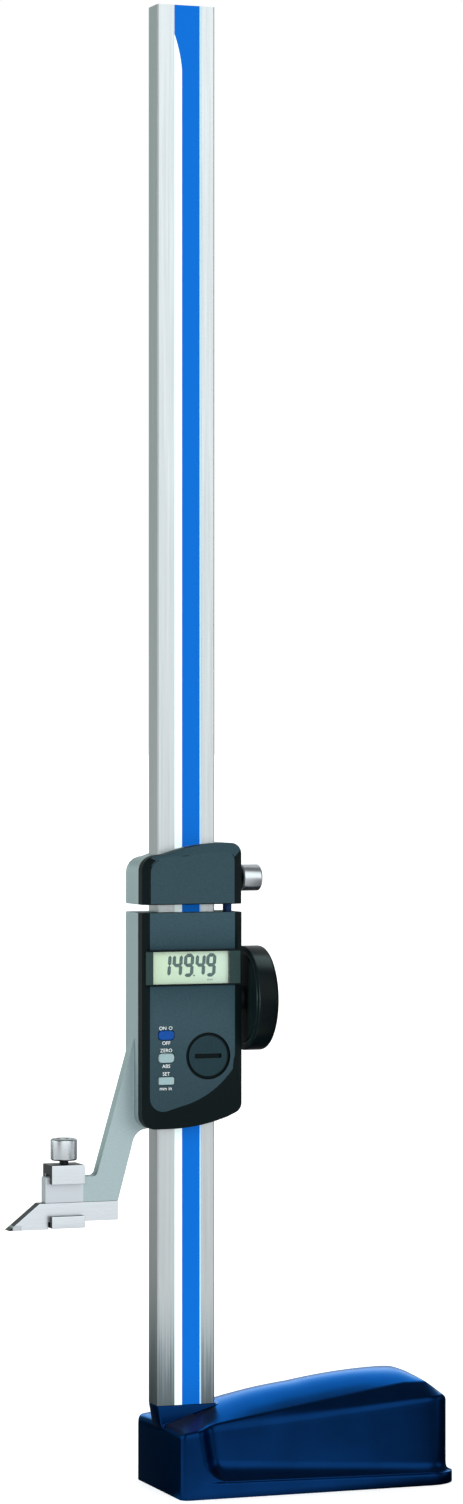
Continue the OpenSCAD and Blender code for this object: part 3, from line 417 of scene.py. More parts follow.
# %% Base: one station
def base_station(x):
    """Half of the section at x, as (y, z) from the middle of the foot to the crown."""
    on_body = min(x, BODY_X1)
    edge, side = half_width(x, BASE_X1), half_width(on_body, BODY_X1)
    lip = ease((x - NOSE_X) / (PANEL_X - NOSE_X))
    plinth_z = plinth_height(x) - rounding(BASE_X1 - x, 1.2)
    path = [(0, 0), (edge - 0.6, 0), (edge - 0.15, 0.15), (edge, 0.6), (edge, 4), (edge, plinth_z - 1.4)]
    path += [(edge - part * lip, plinth_z - down) for part, down in ((0.12, 0.7), (0.42, 0.2), (0.9, 0))]
    panel_z, ridge_z, crown_z = panel_height(on_body), ridge_height(on_body), crown_height(on_body)
    low = plinth_z + 0.3
    heights = [low + (panel_z - 5 - low) * (i / 20) ** 1.5 for i in range(21)]
    wall = [(side - hollow(on_body, z), z) for z in heights]
    panel_y = side - hollow(on_body, panel_z)
    ridge_y = panel_y - 1.2 - 9 * ease((on_body - NOSE_X) / (BODY_X1 - NOSE_X))
    crown = [
        (ridge_y * (1 - t), ridge_z + (crown_z - ridge_z) * (1 - (1 - t) ** 2))
        for t in (0.16, 0.28, 0.4, 0.52, 0.64, 0.76, 0.88, 1)
    ]
    broad = lerp(*SHOULDER, (x - PANEL_X) / (BODY_X1 - PANEL_X))
    wall += soften(wall[-1], (panel_y, panel_z), (ridge_y, ridge_z), broad, broad, 5)
    wall += soften((panel_y, panel_z), (ridge_y, ridge_z), crown[1], 1.2, 1.6, 5) + crown
    return path, wall


def base_ring(x, floor_z=None):
    """A station's points; past the end of the body all of the wall lies down on the plinth's toe."""
    path, wall = base_station(x)
    if floor_z is not None:
        widest = min(wall[0][0], path[-1][0])
        wall = [(widest * (1 - i / (len(wall) - 1)), floor_z) for i in range(len(wall))]
    return [(x, -y, z) for y, z in path + wall]


print("a station has", len(base_ring(0)), "points")

# %% Base: the grid bent over all stations
TOE, TOE_EDGE = 1.8, 1.2
nose = [BASE_X0 + NOSE_R * (1 - math.cos(math.radians(a))) for a in range(0, 91, 10)]
cove_x1 = PANEL_X + COVE_LEAN
cove = [-8.0, -6.2] + [NOSE_X + (cove_x1 - NOSE_X) * i / 28 for i in range(29)]
back = [cove_x1 + (CREST_X - cove_x1) * i / 26 for i in range(1, 27)] + [127, 130]
tail = [BODY_X1 - TAIL_R * (1 - math.sin(math.radians(a))) for a in range(3, 91, 4)] + [BODY_X1]
rings = [base_ring(x) for x in nose + cove + back + tail]
for a in range(0, 91, 18):
    turn = math.radians(a)
    x = BODY_X1 + TOE * (1 - math.cos(turn))
    rings.append(base_ring(x, plinth_height(x) + TOE * (1 - math.sin(turn))))
for d in (0.35, 0.7, 0.95, TOE_EDGE):
    x = BODY_X1 + TOE + d
    rings.append(base_ring(x, plinth_height(x) - rounding(TOE_EDGE - d, TOE_EDGE)))

columns, rows = len(rings[0]), len(rings)
bpy.ops.object.select_all(action="DESELECT")
bpy.ops.mesh.primitive_grid_add(x_subdivisions=columns - 1, y_subdivisions=rows - 1, size=2)
base = bpy.context.object
base.name = "base"
for vertex in base.data.vertices:
    column = round((vertex.co.x + 1) / 2 * (columns - 1))
    row = round((vertex.co.y + 1) / 2 * (rows - 1))
    vertex.co = Vector(rings[row][column]) * MM
modify(base, "MIRROR", use_axis=(False, True, False), merge_threshold=WELD)
edit_all(base)
bpy.ops.mesh.remove_doubles(threshold=WELD)
bpy.ops.mesh.select_all(action="DESELECT")
bpy.ops.mesh.select_mode(type="EDGE")
bpy.ops.mesh.select_non_manifold()
bpy.ops.mesh.fill_holes(sides=0)
bpy.ops.mesh.select_mode(type="VERT")
close_edit()
print("base grid", columns, "by", rows)

# %% [markdown]
# The column stands on a seat that is cast in one with the base. It is a small plate with rounded edges,
# joined on with a Boolean union. The hollow under the foot and the two bolt holes are cut in the same way.

# %% Base: seat, foot and bolt holes
BOLT_HOLE = [(0, -1), (4.65, -1), (4.65, 18), (2.8, 18), (2.8, 60), (0, 60)]
seat = plate("seat", [(-17, 48.5), (18, 48.5), (18, 31.5), (-11.5, 31.5), (-15, 37.5)], -8, 8)
ease_edges(seat, 0.7)
cut(base, seat, "UNION")
cut(base, block("foot_hollow", (22, -30, -1), (144.5, 30, 3)))
for x in (-6, 11):
    cut(base, turned("bolt_hole", BOLT_HOLE, (x, 0, 0), (0, 0, 1), 40))
smooth(base, 38)
print("base with", len(base.data.polygons), "faces")

# %% Base: gloss navy enamel
# A navy enamel with metal flake: its highlights keep the paint's blue, deep where it is seen square on and
# bright where it is seen at a slant. Sprayed paint has a faint orange peel, about 1 mm across, and on what
# looks upwards lies a thin veil of dust.
enamel, tree, shader, place = new_finish(
    "navy_flake_enamel", Metallic=1.0, Roughness=0.28, Specular_Tint=(0.44, 0.55, 0.75, 1),
    Sheen_Roughness=0.4, Sheen_Tint=(0.6, 0.8, 1, 1))
cloud = put(tree, "TexNoise", {"Vector": place, "Scale": per_mm(25), "Detail": 3})
tint = put(tree, "ValToRGB", {"Fac": cloud.outputs["Fac"]}, ((0.3, "#041e41"), (0.7, "#05234b")))
tree.links.new(tint.outputs["Color"], shader.inputs["Base Color"])
peel = put(tree, "TexNoise", {"Vector": place, "Scale": per_mm(1.2), "Detail": 2})
bump = put(tree, "Bump", {"Height": peel.outputs["Fac"], "Strength": 0.06, "Distance": 0.1 * MM})
tree.links.new(bump.outputs["Normal"], shader.inputs["Normal"])
upwards = put(tree, "SeparateXYZ", {"Vector": put(tree, "NewGeometry").outputs["Normal"]}).outputs["Z"]
dust = put(tree, "MapRange", {"Value": upwards, "From Min": 0.3, "From Max": 0.8, "To Max": 0.06})
tree.links.new(dust.outputs["Result"], shader.inputs["Sheen Weight"])
paint(enamel, base)
stands_for(base, "stand", "base_paint", "base_casting")
# A soft box behind lights the hump of the base and leaves the chrome alone.
flagged_lamp("back_light", (0.5, 1.6, 1.3), 1.9, 52, (0.07, 0, 0.05), base)

# %% [markdown]
# ## Column and scale
# The column is hardened steel, ground along its length, so it shows fine streaks from top to bottom. The
# CAD node has the right shape with its chamfers, and only needs the finish. The scale lies in a groove
# under a printed film: a white stripe, a wide blue one that swells to a flag at the top, and a light line.

# %% Column: ground steel
# Grinding leaves scratches a few hundredths of a millimetre wide. They would not show from 2.5 m, so the
# streaks are drawn about 1 mm wide and 90 mm long. The last few centimetres over the seat are darkened as
# painted shade.
ground, tree, shader, place = new_finish("ground_steel", Metallic=1.0)
stretch = put(tree, "Mapping", {"Vector": place, "Scale": (per_mm(1.1), per_mm(1.1), per_mm(90))})
streak = put(tree, "TexNoise", {
    "Vector": stretch.outputs["Vector"], "Scale": 1, "Detail": 5, "Roughness": 0.65})
tint = put(tree, "ValToRGB", {"Fac": streak.outputs["Fac"]}, ((0.25, "#a3a8aa"), (0.75, "#b4b9bb")))
axes = put(tree, "SeparateXYZ", {"Vector": place})
ragged = put(tree, "Math", {0: streak.outputs["Fac"], 1: -0.1, 2: axes.outputs["Z"]},
             operation="MULTIPLY_ADD")
over_seat = put(tree, "MapRange", {"Value": ragged.outputs[0], "From Min": 0.0, "From Max": 0.064})
# Painted shade: the foot of the column is darkened just over the seat.
painted_foot_shade = put(tree, "ValToRGB", {"Fac": over_seat.outputs["Result"]}, (
    (0, (0.23, 0.275, 0.29, 1)), (0.14, (0.3, 0.345, 0.36, 1)), (0.42, (0.53, 0.58, 0.6, 1)),
    (0.62, (0.78, 0.82, 0.83, 1)), (1, FULL)))
steel = put(tree, "Mix", {0: 1.0, 6: tint.outputs["Color"], 7: painted_foot_shade.outputs["Color"]},
            data_type="RGBA", blend_type="MULTIPLY")
tree.links.new(steel.outputs[2], shader.inputs["Base Color"])
dull = put(tree, "MapRange", {"Value": streak.outputs["Fac"], "To Min": 0.42, "To Max": 0.3})
tree.links.new(dull.outputs["Result"], shader.inputs["Roughness"])
bump = put(tree, "Bump", {"Height": streak.outputs["Fac"], "Strength": 0.12, "Distance": 0.05 * MM})
tree.links.new(bump.outputs["Normal"], shader.inputs["Normal"])
paint(ground, nodes["column"])

# %% Film: printed stripes
# A polyester film printed on its back: flat inks under a thin gloss. The edge between white and blue is
# straight up to the flag, then swings left and has crossed the white stripe at the flag's top.
BLUE_X, LINE_X, FLAG_REACH, FLAG_Z0, FLAG_Z1 = -2.5, 8.0, 4.6, 797, 819
film_print, tree, shader, place = new_finish("printed_film", Roughness=0.5, Specular_IOR_Level=0.05)
axes = put(tree, "SeparateXYZ", {"Vector": place})
rise = put(tree, "MapRange", {
    "Value": axes.outputs["Z"], "From Min": FLAG_Z0 * MM, "From Max": FLAG_Z1 * MM})
swing = put(tree, "Math", {0: rise.outputs["Result"], 1: 1.7}, operation="POWER")
edge = put(tree, "Math", {0: swing.outputs[0], 1: -FLAG_REACH * MM, 2: BLUE_X * MM},
           operation="MULTIPLY_ADD")
in_blue = put(tree, "Math", {0: axes.outputs["X"], 1: edge.outputs[0]}, operation="GREATER_THAN")
in_line = put(tree, "Math", {0: axes.outputs["X"], 1: LINE_X * MM}, operation="GREATER_THAN")
blue = put(tree, "Mix", {0: in_blue.outputs[0], 6: linear("#cfdedd"), 7: linear("#0057ac")},
           data_type="RGBA")
line = put(tree, "Mix", {0: in_line.outputs[0], 6: blue.outputs[2], 7: linear("#9fbad9")},
           data_type="RGBA")
tree.links.new(line.outputs[2], shader.inputs["Base Color"])
ripple = put(tree, "TexNoise", {"Vector": place, "Scale": per_mm(9), "Detail": 1})
bump = put(tree, "Bump", {"Height": ripple.outputs["Fac"], "Strength": 0.05, "Distance": 0.2 * MM})
tree.links.new(bump.outputs["Normal"], shader.inputs["Normal"])
paint(film_print, nodes["scale_film"])
# A lamp that nothing else shades keeps the film bright in the gap between carriage and head.
film_light = flagged_lamp("film_light", (-0.9, -2.9, 0.45), 1, 44, (0, 0, 0.45), nodes["scale_film"])
film_light.light_linking.blocker_collection = film_light.light_linking.receiver_collection

# %% [markdown]
# ## Steel bodies of the head and the carriage
# The head and the carriage are milled from steel and satin plated, with the arm in one piece with the
# head. Their CAD shapes are right apart from their razor edges, so each is a copy of its node, with the
# triangles merged to whole faces and the edges broken by a small bevel, as a machinist would.

# %% Head, carriage and back plates
def eased_copy(node, name, width):
    """A copy of a CAD node with merged faces and rounded edges."""
    piece = bpy.data.objects.new(name, nodes[node].data.copy())
    scene.collection.objects.link(piece)
    pick(piece)
    bpy.ops.mesh.customdata_custom_splitnormals_clear()
    edit_all(piece)
    bpy.ops.mesh.remove_doubles(threshold=0.001 * MM)
    bpy.ops.mesh.dissolve_limited(angle_limit=math.radians(0.5))
    bpy.ops.object.mode_set(mode="OBJECT")
    return ease_edges(piece, width, segments=2, clamp=False)


steel_bodies = []
for node, body in (("slider_body", "slider"), ("carriage_body", "carriage"),
                   ("slider_back_plate", "slider"), ("carriage_back_plate", "carriage")):
    piece = eased_copy(node, node + "_eased", 0.5)
    stands_for(piece, body, "satin_steel", node)
    steel_bodies.append(piece)

# %% Head and carriage: satin plated steel
# Matt chrome over blasted steel: a cool grey that spreads its highlights, with a grain of about 0.3 mm,
# drawn at 0.8 mm so that it shows. The tongue under the scriber's clamp is ground bare.
TONGUE_X = -59.5
satin, tree, shader, place = new_finish("satin_plated_steel", Metallic=1.0)
grain = put(tree, "TexNoise", {"Vector": place, "Scale": per_mm(0.8), "Detail": 4})
tint = put(tree, "ValToRGB", {"Fac": grain.outputs["Fac"]}, ((0.3, "#96a6a9"), (0.7, "#a2b2b5")))
axes = put(tree, "SeparateXYZ", {"Vector": place})
tongue = put(tree, "Math", {0: axes.outputs["X"], 1: TONGUE_X * MM}, operation="LESS_THAN")
plated = put(tree, "Mix", {0: tongue.outputs[0], 6: tint.outputs["Color"], 7: linear("#b8bec3")},
             data_type="RGBA")
tree.links.new(plated.outputs[2], shader.inputs["Base Color"])
dull = put(tree, "MapRange", {"Value": grain.outputs["Fac"], "To Min": 0.48, "To Max": 0.6})
tree.links.new(dull.outputs["Result"], shader.inputs["Roughness"])
bump = put(tree, "Bump", {"Height": grain.outputs["Fac"], "Strength": 0.1, "Distance": 0.05 * MM})
tree.links.new(bump.outputs["Normal"], shader.inputs["Normal"])
paint(satin, *steel_bodies)

# %% [markdown]
# ## Plastic covers
# Both covers are moulded shells with a wide bevel around a flat front. The rim's outline and the front's
# outline are drawn with the same number of points, so the bevel between them is one clean band: the rim
# is extruded forwards, and its last ring is moved to the front's outline. Pockets are cut afterwards.

# %% Covers: outlines, over the plate
READING = 149.49
HEAD_X, FRONT_X, FRONT_RIGHT = 29.6, 25.8, 24.6
RIM_Y, BEVEL_Y, FRONT_Y, HOLLOW_Y = -11.0, -17.7, -20.5, -18.5
HEAD_TOP, CARRIAGE_FOOT = 176, 180.5
SWEEP_R, CREST_R = 106, 109


def arc(x, z, r, start, end, steps):
    """Points of an arc about (x, z), with angles in degrees."""
    turns = [math.radians(start + (end - start) * i / steps) for i in range(steps + 1)]
    return [(x + r * math.cos(a), z + r * math.sin(a)) for a in turns]


def sweep(x):
    """Height of the head's curved lower edge over the measuring face."""
    return 55 + SWEEP_R - math.sqrt(SWEEP_R**2 - max(0, x + 14) ** 2)


def crest(x):
    """Height of the carriage's curved upper edge over the measuring face."""
    return 214.8 - CREST_R + math.sqrt(CREST_R**2 - (x - 20) ** 2)


def lift(points):
    """Moves an outline from the measuring face to its height over the plate."""
    return [(x, z + READING) for x, z in points]


head_rim = lift(
    [(-HEAD_X, HEAD_TOP)] + arc(-21.6, 63, 8, 180, 270, 8)
    + [(x, sweep(x)) for x in (-19, -14, -10, -6, -2, 2, 6, 9, 12, 15, 18, 21)]
    + arc(23.6, sweep(23.6) + 6.8, 6, -62, 0, 8) + [(HEAD_X, HEAD_TOP)])
head_front = lift(
    [(-FRONT_X, HEAD_TOP)] + arc(-17.8, 73, 8, 180, 285, 8) + arc(-19.2, 119, 52.6, -77, -36, 11)
    + arc(FRONT_RIGHT - 9, 97, 9, -25, 0, 8) + [(FRONT_RIGHT, HEAD_TOP)])
carriage_rim = lift(
    [(HEAD_X, CARRIAGE_FOOT)] + arc(23.6, 208.74, 6, 0, 90, 8)
    + [(x, crest(x)) for x in (19, 14, 9, 4, -1, -6, -11, -16)]
    + arc(-20.6, crest(-16) - 9.6, 9, 100, 180, 8) + [(-HEAD_X, CARRIAGE_FOOT)])
carriage_front = lift(
    [(FRONT_RIGHT, CARRIAGE_FOOT)] + arc(FRONT_RIGHT - 5, 204.8, 5, 0, 90, 8)
    + [(20.4 - 4.6 * i, 209.7 - 0.28 * i) for i in range(1, 9)]
    + arc(-17.8, 198.3, 8, 100, 180, 8) + [(-FRONT_X, CARRIAGE_FOOT)])
print("cover outlines:", len(head_rim), "and", len(carriage_rim), "points")


# %% Covers: from the rim to the front
def cover(name, rim, front):
    """A cover's solid form: straight sides from the rim, then the bevel up to the front."""
    piece = plate(name, rim, BEVEL_Y, RIM_Y)
    edit_all(piece)
    bpy.ops.mesh.select_all(action="DESELECT")
    bpy.ops.object.mode_set(mode="OBJECT")
    for face in piece.data.polygons:
        face.select = face.normal.y < -0.9
    bpy.ops.object.mode_set(mode="EDIT")
    bpy.ops.mesh.select_mode(type="FACE")
    bpy.ops.mesh.extrude_region_move(TRANSFORM_OT_translate={"value": (0, (FRONT_Y - BEVEL_Y) * MM, 0)})
    bpy.ops.object.mode_set(mode="OBJECT")
    for vertex in piece.data.vertices:
        if vertex.co.y < (FRONT_Y + 0.1) * MM:
            here = (vertex.co.x / MM, vertex.co.z / MM)
            nearest = min(range(len(rim)), key=lambda i: math.dist(rim[i], here))
            vertex.co.x, vertex.co.z = (MM * v for v in front[nearest])
    edit_all(piece)
    bpy.ops.mesh.select_mode(type="VERT")
    close_edit()
    return ease_edges(piece, 0.55, angle=18)


housing = cover("housing", head_rim, head_front)
carriage_shell = cover("carriage_shell", carriage_rim, carriage_front)
print("covers with", len(housing.data.polygons), "and", len(carriage_shell.data.polygons), "faces")

# %% Covers: pockets
LCD_X, LCD_Z, WINDOW_X, WINDOW_Z = -1.35, 145.2 + READING, 22.65, 9.1  # middle, half width, half height
BEZEL_Y, CLEAR_Y, INSIDE_Y = -19.6, -22.0, -17.0
ROOM_X, CELL_X, CELL_Z = 27.6, 8.7, 245.09
CELL_HOLE = [(0, -2), (13.6, -2), (13.05, 0.5), (13.05, 1.7), (10.95, 1.7), (10.95, 5), (0, 5)]
KEY_X, KEY_W = -16.2, 9.2
KEYS = {  # height over the plate, size from top to bottom, corner radius
    "power_key": (257.24, 5.2, 2.3), "zero_key": (244.49, 5.2, 2.1), "unit_key": (231.74, 4.3, 1.1)}


def soft_outline(corners, steps=5):
    """A closed outline from corners of (x, z, radius)."""
    points = []
    for i, (x, z, r) in enumerate(corners):
        before, after = corners[i - 1][:2], corners[(i + 1) % len(corners)][:2]
        points += soften(before, (x, z), after, r, r, steps) if r else [(x, z)]
    return points


def soft_box(x, z, width, height, r):
    """The outline of a box with round corners about (x, z)."""
    return soft_outline([(x - width / 2, z - height / 2, r), (x + width / 2, z - height / 2, r),
                         (x + width / 2, z + height / 2, r), (x - width / 2, z + height / 2, r)])


def window_hole():
    """A tool that cuts the window through the front."""
    return block("window", (LCD_X - WINDOW_X, CLEAR_Y, LCD_Z - WINDOW_Z),
                 (LCD_X + WINDOW_X, INSIDE_Y, LCD_Z + WINDOW_Z))


room = lift([(-ROOM_X, 174), (-ROOM_X, 66), (0, 66), (20, 70), (ROOM_X, 78), (ROOM_X, 174)])
cut(housing, plate("room", room, HOLLOW_Y, RIM_Y + 1))
cut(housing, block("bezel_seat", (-28.05, CLEAR_Y, LCD_Z - 10), (27.75, BEZEL_Y, LCD_Z + 10)))
cut(housing, window_hole())
for z, tall, r in KEYS.values():
    cut(housing, plate("key_hole", soft_box(KEY_X, z, KEY_W + 0.6, tall + 0.6, r), CLEAR_Y, INSIDE_Y))
cut(housing, turned("cell_hole", CELL_HOLE, (CELL_X, FRONT_Y, CELL_Z), (0, 1, 0), 72))
cut(carriage_shell, block("room", (-ROOM_X, HOLLOW_Y, 331.99), (ROOM_X, RIM_Y + 1, 350)))
for piece in (housing, carriage_shell):
    smooth(piece)
    print(piece.name, "with pockets:", len(piece.data.polygons), "faces")


# %% Covers: moulded ABS
# ABS with a spark-eroded texture, about 0.2 mm in truth and drawn at 0.9 mm. The front carries a printed
# blue-grey panel that runs over the bevel at the carriage's top. The other bevels stay near-black.
def grained(name, dark, light, roughness, grain_mm, gloss=0.25, metallic=0.0):
    """A finish of two close tones in a fine grain, which is felt as a slight texture too."""
    material, tree, shader, place = new_finish(
        name, Roughness=roughness, Specular_IOR_Level=gloss, Metallic=metallic)
    grain = put(tree, "TexNoise", {"Vector": place, "Scale": per_mm(grain_mm), "Detail": 3})
    tint = put(tree, "ValToRGB", {"Fac": grain.outputs["Fac"]}, ((0.3, dark), (0.7, light)))
    tree.links.new(tint.outputs["Color"], shader.inputs["Base Color"])
    bump = put(tree, "Bump", {"Height": grain.outputs["Fac"], "Strength": 0.12, "Distance": 0.06 * MM})
    tree.links.new(bump.outputs["Normal"], shader.inputs["Normal"])
    return material


shell_abs = grained("shell_abs", "#081112", "#0b1618", 0.45, 0.9, 0.05)
front_abs = grained("front_panel_abs", "#2f454e", "#354c55", 0.5, 0.9, 0.08)
paint(shell_abs, housing, carriage_shell)

# %% Covers: the printed front
# Painted shade: the print is darkened towards the foot of the head, and a little on the carriage too.
FRONT_SHADE = (  # height over the plate, share of the red, share of the green and blue
    (200, 0.68, 0.7), (230, 0.78, 0.78), (265, 1.02, 1.02), (327, 1.04, 1.04), (329, 0.88, 0.88),
    (400, 0.86, 0.88))
FRONT_SHADE_Z0, FRONT_SHADE_Z1 = FRONT_SHADE[0][0], FRONT_SHADE[-1][0]
tree = front_abs.node_tree
shader = tree.nodes["Principled BSDF"]
axes = put(tree, "SeparateXYZ", {"Vector": put(tree, "TexCoord").outputs["Object"]})
rise = put(tree, "MapRange", {
    "Value": axes.outputs["Z"], "From Min": FRONT_SHADE_Z0 * MM, "From Max": FRONT_SHADE_Z1 * MM})
# Painted shade, by height over the plate.
painted_shade = put(tree, "ValToRGB", {"Fac": rise.outputs["Result"]},
             [((z - FRONT_SHADE_Z0) / (FRONT_SHADE_Z1 - FRONT_SHADE_Z0), (red, rest, rest, 1)) for z, red, rest in FRONT_SHADE])
plain = shader.inputs["Base Color"].links[0].from_socket
shaded_front = put(tree, "Mix", {0: 1.0, 6: plain, 7: painted_shade.outputs["Color"]},
            data_type="RGBA", blend_type="MULTIPLY")
tree.links.new(shaded_front.outputs[2], shader.inputs["Base Color"])
for piece, body, node in ((housing, "slider", "housing_cover"),
                          (carriage_shell, "carriage", "carriage_cover")):
    piece.data.materials.append(front_abs)
    for face in piece.data.polygons:
        square_on = face.center.y < (FRONT_Y + 0.02) * MM and face.normal.y < -0.98
        upper = face.normal.z > 0.14 and face.normal.y < -0.3 and face.normal.x > -0.3
        face.material_index = 1 if square_on or upper else 0
    stands_for(piece, body, "cover_plastic", node)

# %% [markdown]
# ## Display
# The window is a frame with a clear pane, and behind the pane lies a reflective liquid crystal display.
# Its digits are seven-segment figures: bars with pointed ends, leaning a little to the right. A typeface
# would join the bars, so each one is a thin plate with six sides, set where the figures 1, 4 and 9 need it.

# %% Display: frame
# The ledges over and under the window, and its inner sides, get the covers' near-black plastic as painted
# shade. Two cuts across the frame part the ledges from the rest.
bezel = plate("bezel", soft_box(-0.15, LCD_Z, 55.7, 19.9, 0.6), -21.2, BEZEL_Y)
cut(bezel, window_hole())
ease_edges(bezel, 0.3)
for side in (-1, 1):
    edit_all(bezel)
    bpy.ops.mesh.bisect(plane_co=(0, 0, (LCD_Z + side * WINDOW_Z) * MM), plane_no=(0, 0, 1))
    bpy.ops.object.mode_set(mode="OBJECT")
bezel_abs = grained("bezel_abs", "#243736", "#2b403f", 0.4, 0.6, 0.1)
paint(bezel_abs, bezel)
bezel.data.materials.append(shell_abs)
# Painted shade: the ledges and the window's inner sides take the near-black plastic.
for face in bezel.data.polygons:
    ledge = abs(face.center.z - LCD_Z * MM) > (WINDOW_Z - 0.05) * MM
    inner = abs(face.center.x - LCD_X * MM) < (WINDOW_X + 0.15) * MM and face.center.y > -21.1 * MM
    face.material_index = 1 if ledge or inner else 0
stands_for(bezel, "slider", "bezel_plastic", "window_bezel")

# %% Display: pane and liquid crystal
# Cast acrylic, about 1 mm thick: almost all light goes through, and the surface keeps its gloss.
pane, tree, shader, place = new_finish(
    "acrylic_pane", Roughness=0.06, Specular_IOR_Level=0.15, Alpha=0.05)
haze = put(tree, "TexNoise", {"Vector": place, "Scale": per_mm(14), "Detail": 1})
tint = put(tree, "ValToRGB", {"Fac": haze.outputs["Fac"]}, ((0, "#f2f6f3"), (1, "#ffffff")))
tree.links.new(tint.outputs["Color"], shader.inputs["Base Color"])
paint(pane, nodes["window_lens"])

# A reflective display: a pale green-grey sheet of polariser, a little warmer towards the left.
crystal, tree, shader, place = new_finish("liquid_crystal_sheet", Roughness=0.5)
axes = put(tree, "SeparateXYZ", {"Vector": place})
across = put(tree, "MapRange", {"Value": axes.outputs["X"], "From Min": -24 * MM, "From Max": 22 * MM})
tint = put(tree, "ValToRGB", {"Fac": across.outputs["Result"]}, ((0, "#b9d3b1"), (1, "#bfdac5")))
tree.links.new(tint.outputs["Color"], shader.inputs["Base Color"])
paint(crystal, nodes["lcd_panel"])


# %% Display: words as meshes
def word_mesh(word, x, y, z, size):
    """A plain word as a thin mesh, centred on x, with its foot at z."""
    bpy.ops.object.select_all(action="DESELECT")
    bpy.ops.object.text_add(location=(x * MM, y * MM, z * MM), rotation=(math.radians(90), 0, 0))
    text = bpy.context.object
    text.data.body = word
    text.data.size = size * MM
    text.data.align_x = "CENTER"
    text.data.extrude = 0.02 * MM
    bpy.ops.object.convert(target="MESH")
    bpy.ops.object.transform_apply(location=True, rotation=True, scale=True)
    return bpy.context.object


LCD_FACE, FIGURES_Z = -18.2, LCD_Z - 4.3
unit = word_mesh("mm", 10.6, LCD_FACE, FIGURES_Z - 3.2, 2.2)
print("unit with", len(unit.data.polygons), "faces")

# %% Display: seven-segment figures
FIGURES = {"1": "bc", "4": "fgbc", "9": "afgbcd"}
SEGMENTS = {  # each bar's ends, on a figure one wide and two tall
    "a": ((0, 2), (1, 2)), "b": ((1, 2), (1, 1)), "c": ((1, 1), (1, 0)),
    "d": ((0, 0), (1, 0)), "f": ((0, 2), (0, 1)), "g": ((0, 1), (1, 1)),
}
TALL, WIDE, HALF_BAR, LEAN = 11.1, 4.0, 1.0, 0.07
INK_Y = (LCD_FACE - 0.04, LCD_FACE + 0.01)


def bar(start, end, left):
    """One bar of a figure as a thin plate with pointed ends."""
    a = Vector((start[0] * WIDE, start[1] * TALL / 2))
    b = Vector((end[0] * WIDE, end[1] * TALL / 2))
    run = (b - a).normalized()
    point = run * HALF_BAR
    across = Vector((-point.y, point.x))
    a, b = a - run * 0.1, b + run * 0.1
    corners = [a, a + point + across, b - point + across, b, b - point - across, a + point - across]
    return plate("bar", [(left + c.x + c.y * LEAN, FIGURES_Z + c.y) for c in corners], *INK_Y)


bars = []
for figure, left in zip("14949", (-17.9, -11.2, -4.5, 2.4, 8.7)):
    bars += [bar(*SEGMENTS[name], left) for name in FIGURES[figure]]
bars += [plate("dot", soft_box(1.1, FIGURES_Z - 0.2, 0.9, 0.9, 0.2), *INK_Y), unit]
pick(bars[0])
for piece in bars:
    piece.select_set(True)
bpy.ops.object.join()
digits = bpy.context.object
digits.name = "lcd_figures"

# Twisted crystal seen dark: a deep teal, matt, with a slight unevenness from the polariser.
ink = grained("crystal_segments", "#0a4442", "#0e4c49", 0.5, 2, 0.05)
paint(ink, digits)
stands_for(digits, "slider", "lcd")

# %% [markdown]
# ## Keys, labels and battery cover
# Three soft keys stand a little proud of the front: a blue one for power and two grey ones. Each is a
# small outline with round corners, extruded, with a wide bevel at the front so that it feels like a
# cushion. The labels are plain words, typed as text and turned into thin meshes.

# %% Keys
# Moulded key plastic, silky to the touch: a soft highlight and a fine grain, drawn at 0.7 mm.
KEY_Y, FLANGE_Y = (-21.4, -18.35), (-18.4, -17.7)
blue_plastic = grained("blue_key_plastic", "#0b418c", "#0f4a98", 0.4, 0.7, 0.1)
grey_plastic = grained("grey_key_plastic", "#8ca6a9", "#95afb2", 0.45, 0.7, 0.1)
for name, (z, tall, r) in KEYS.items():
    key = plate(name + "_cap", soft_box(KEY_X, z, KEY_W, tall, r), *KEY_Y)
    ease_edges(key, 0.7, segments=4)
    cut(key, plate("flange", soft_box(KEY_X, z, 11.6, 7.2, 1.2), *FLANGE_Y), "UNION")
    smooth(key)
    paint(blue_plastic if name == "power_key" else grey_plastic, key)
    stands_for(key, name, "blue_key" if name == "power_key" else "grey_key", name)

# %% Labels
# Screen ink lies on the plastic as a thin matt coat.
label_ink = grained("white_screen_ink", "#dfe6e6", "#eef2f2", 0.6, 0.8)
LABELS = (("ON", -18.2, 260.2), ("O", -13.6, 260.2), ("OFF", KEY_X, 251.9), ("ZERO", KEY_X, 247.8),
          ("ABS", KEY_X, 239.0), ("SET", KEY_X, 234.7), ("mm", -18.0, 226.6), ("in", -13.9, 226.6))
for i, (word, x, z) in enumerate(LABELS):
    label = word_mesh(word, x, FRONT_Y, z, 2.8)
    label.name = f"label_{i}"
    paint(label_ink, label)
    stands_for(label, "slider", "cover_plastic")

# %% Battery cover
# The lid is moulded from ABS too. Its face is dark grey, and its edge and slot get near-black plastic as
# painted shade.
lid_profile = [(0, 0.15), (6, 0.13), (10.9, 0.1), (11.4, 0.25), (11.6, 0.7), (11.8, 1.1), (12.75, 1.2),
               (12.75, 1.6), (10.7, 1.6), (10.7, 3.44), (0, 3.44)]
lid = turned("battery_lid", lid_profile, (CELL_X, FRONT_Y, CELL_Z), (0, 1, 0), 96)
cut(lid, plate("coin_slot", soft_box(CELL_X, CELL_Z, 15.8, 2.6, 0.5), CLEAR_Y, -18.9))
smooth(lid, 30)
lid_abs = grained("lid_abs", "#1e3138", "#22363d", 0.45, 0.8, 0.05)
paint(lid_abs, lid)
lid.data.materials.append(shell_abs)
# Painted shade: all but the lid's front face take the near-black plastic.
for face in lid.data.polygons:
    face.material_index = 0 if face.normal.y < -0.9 and face.center.y < -20 * MM else 1
stands_for(lid, "battery_cover", "cover_plastic", "battery_cover")

# %% [markdown]
# ## Turned pieces
# The handwheel, the two clamp knobs and the fine-adjustment screw are round about an axis. A bevelled
# cylinder would need many cuts, so a profile is drawn once and spun. The wheel is black moulded plastic with
# a rounded rim, and the knobs are plated. The screw's thread is drawn as rings, as its slope would not show.

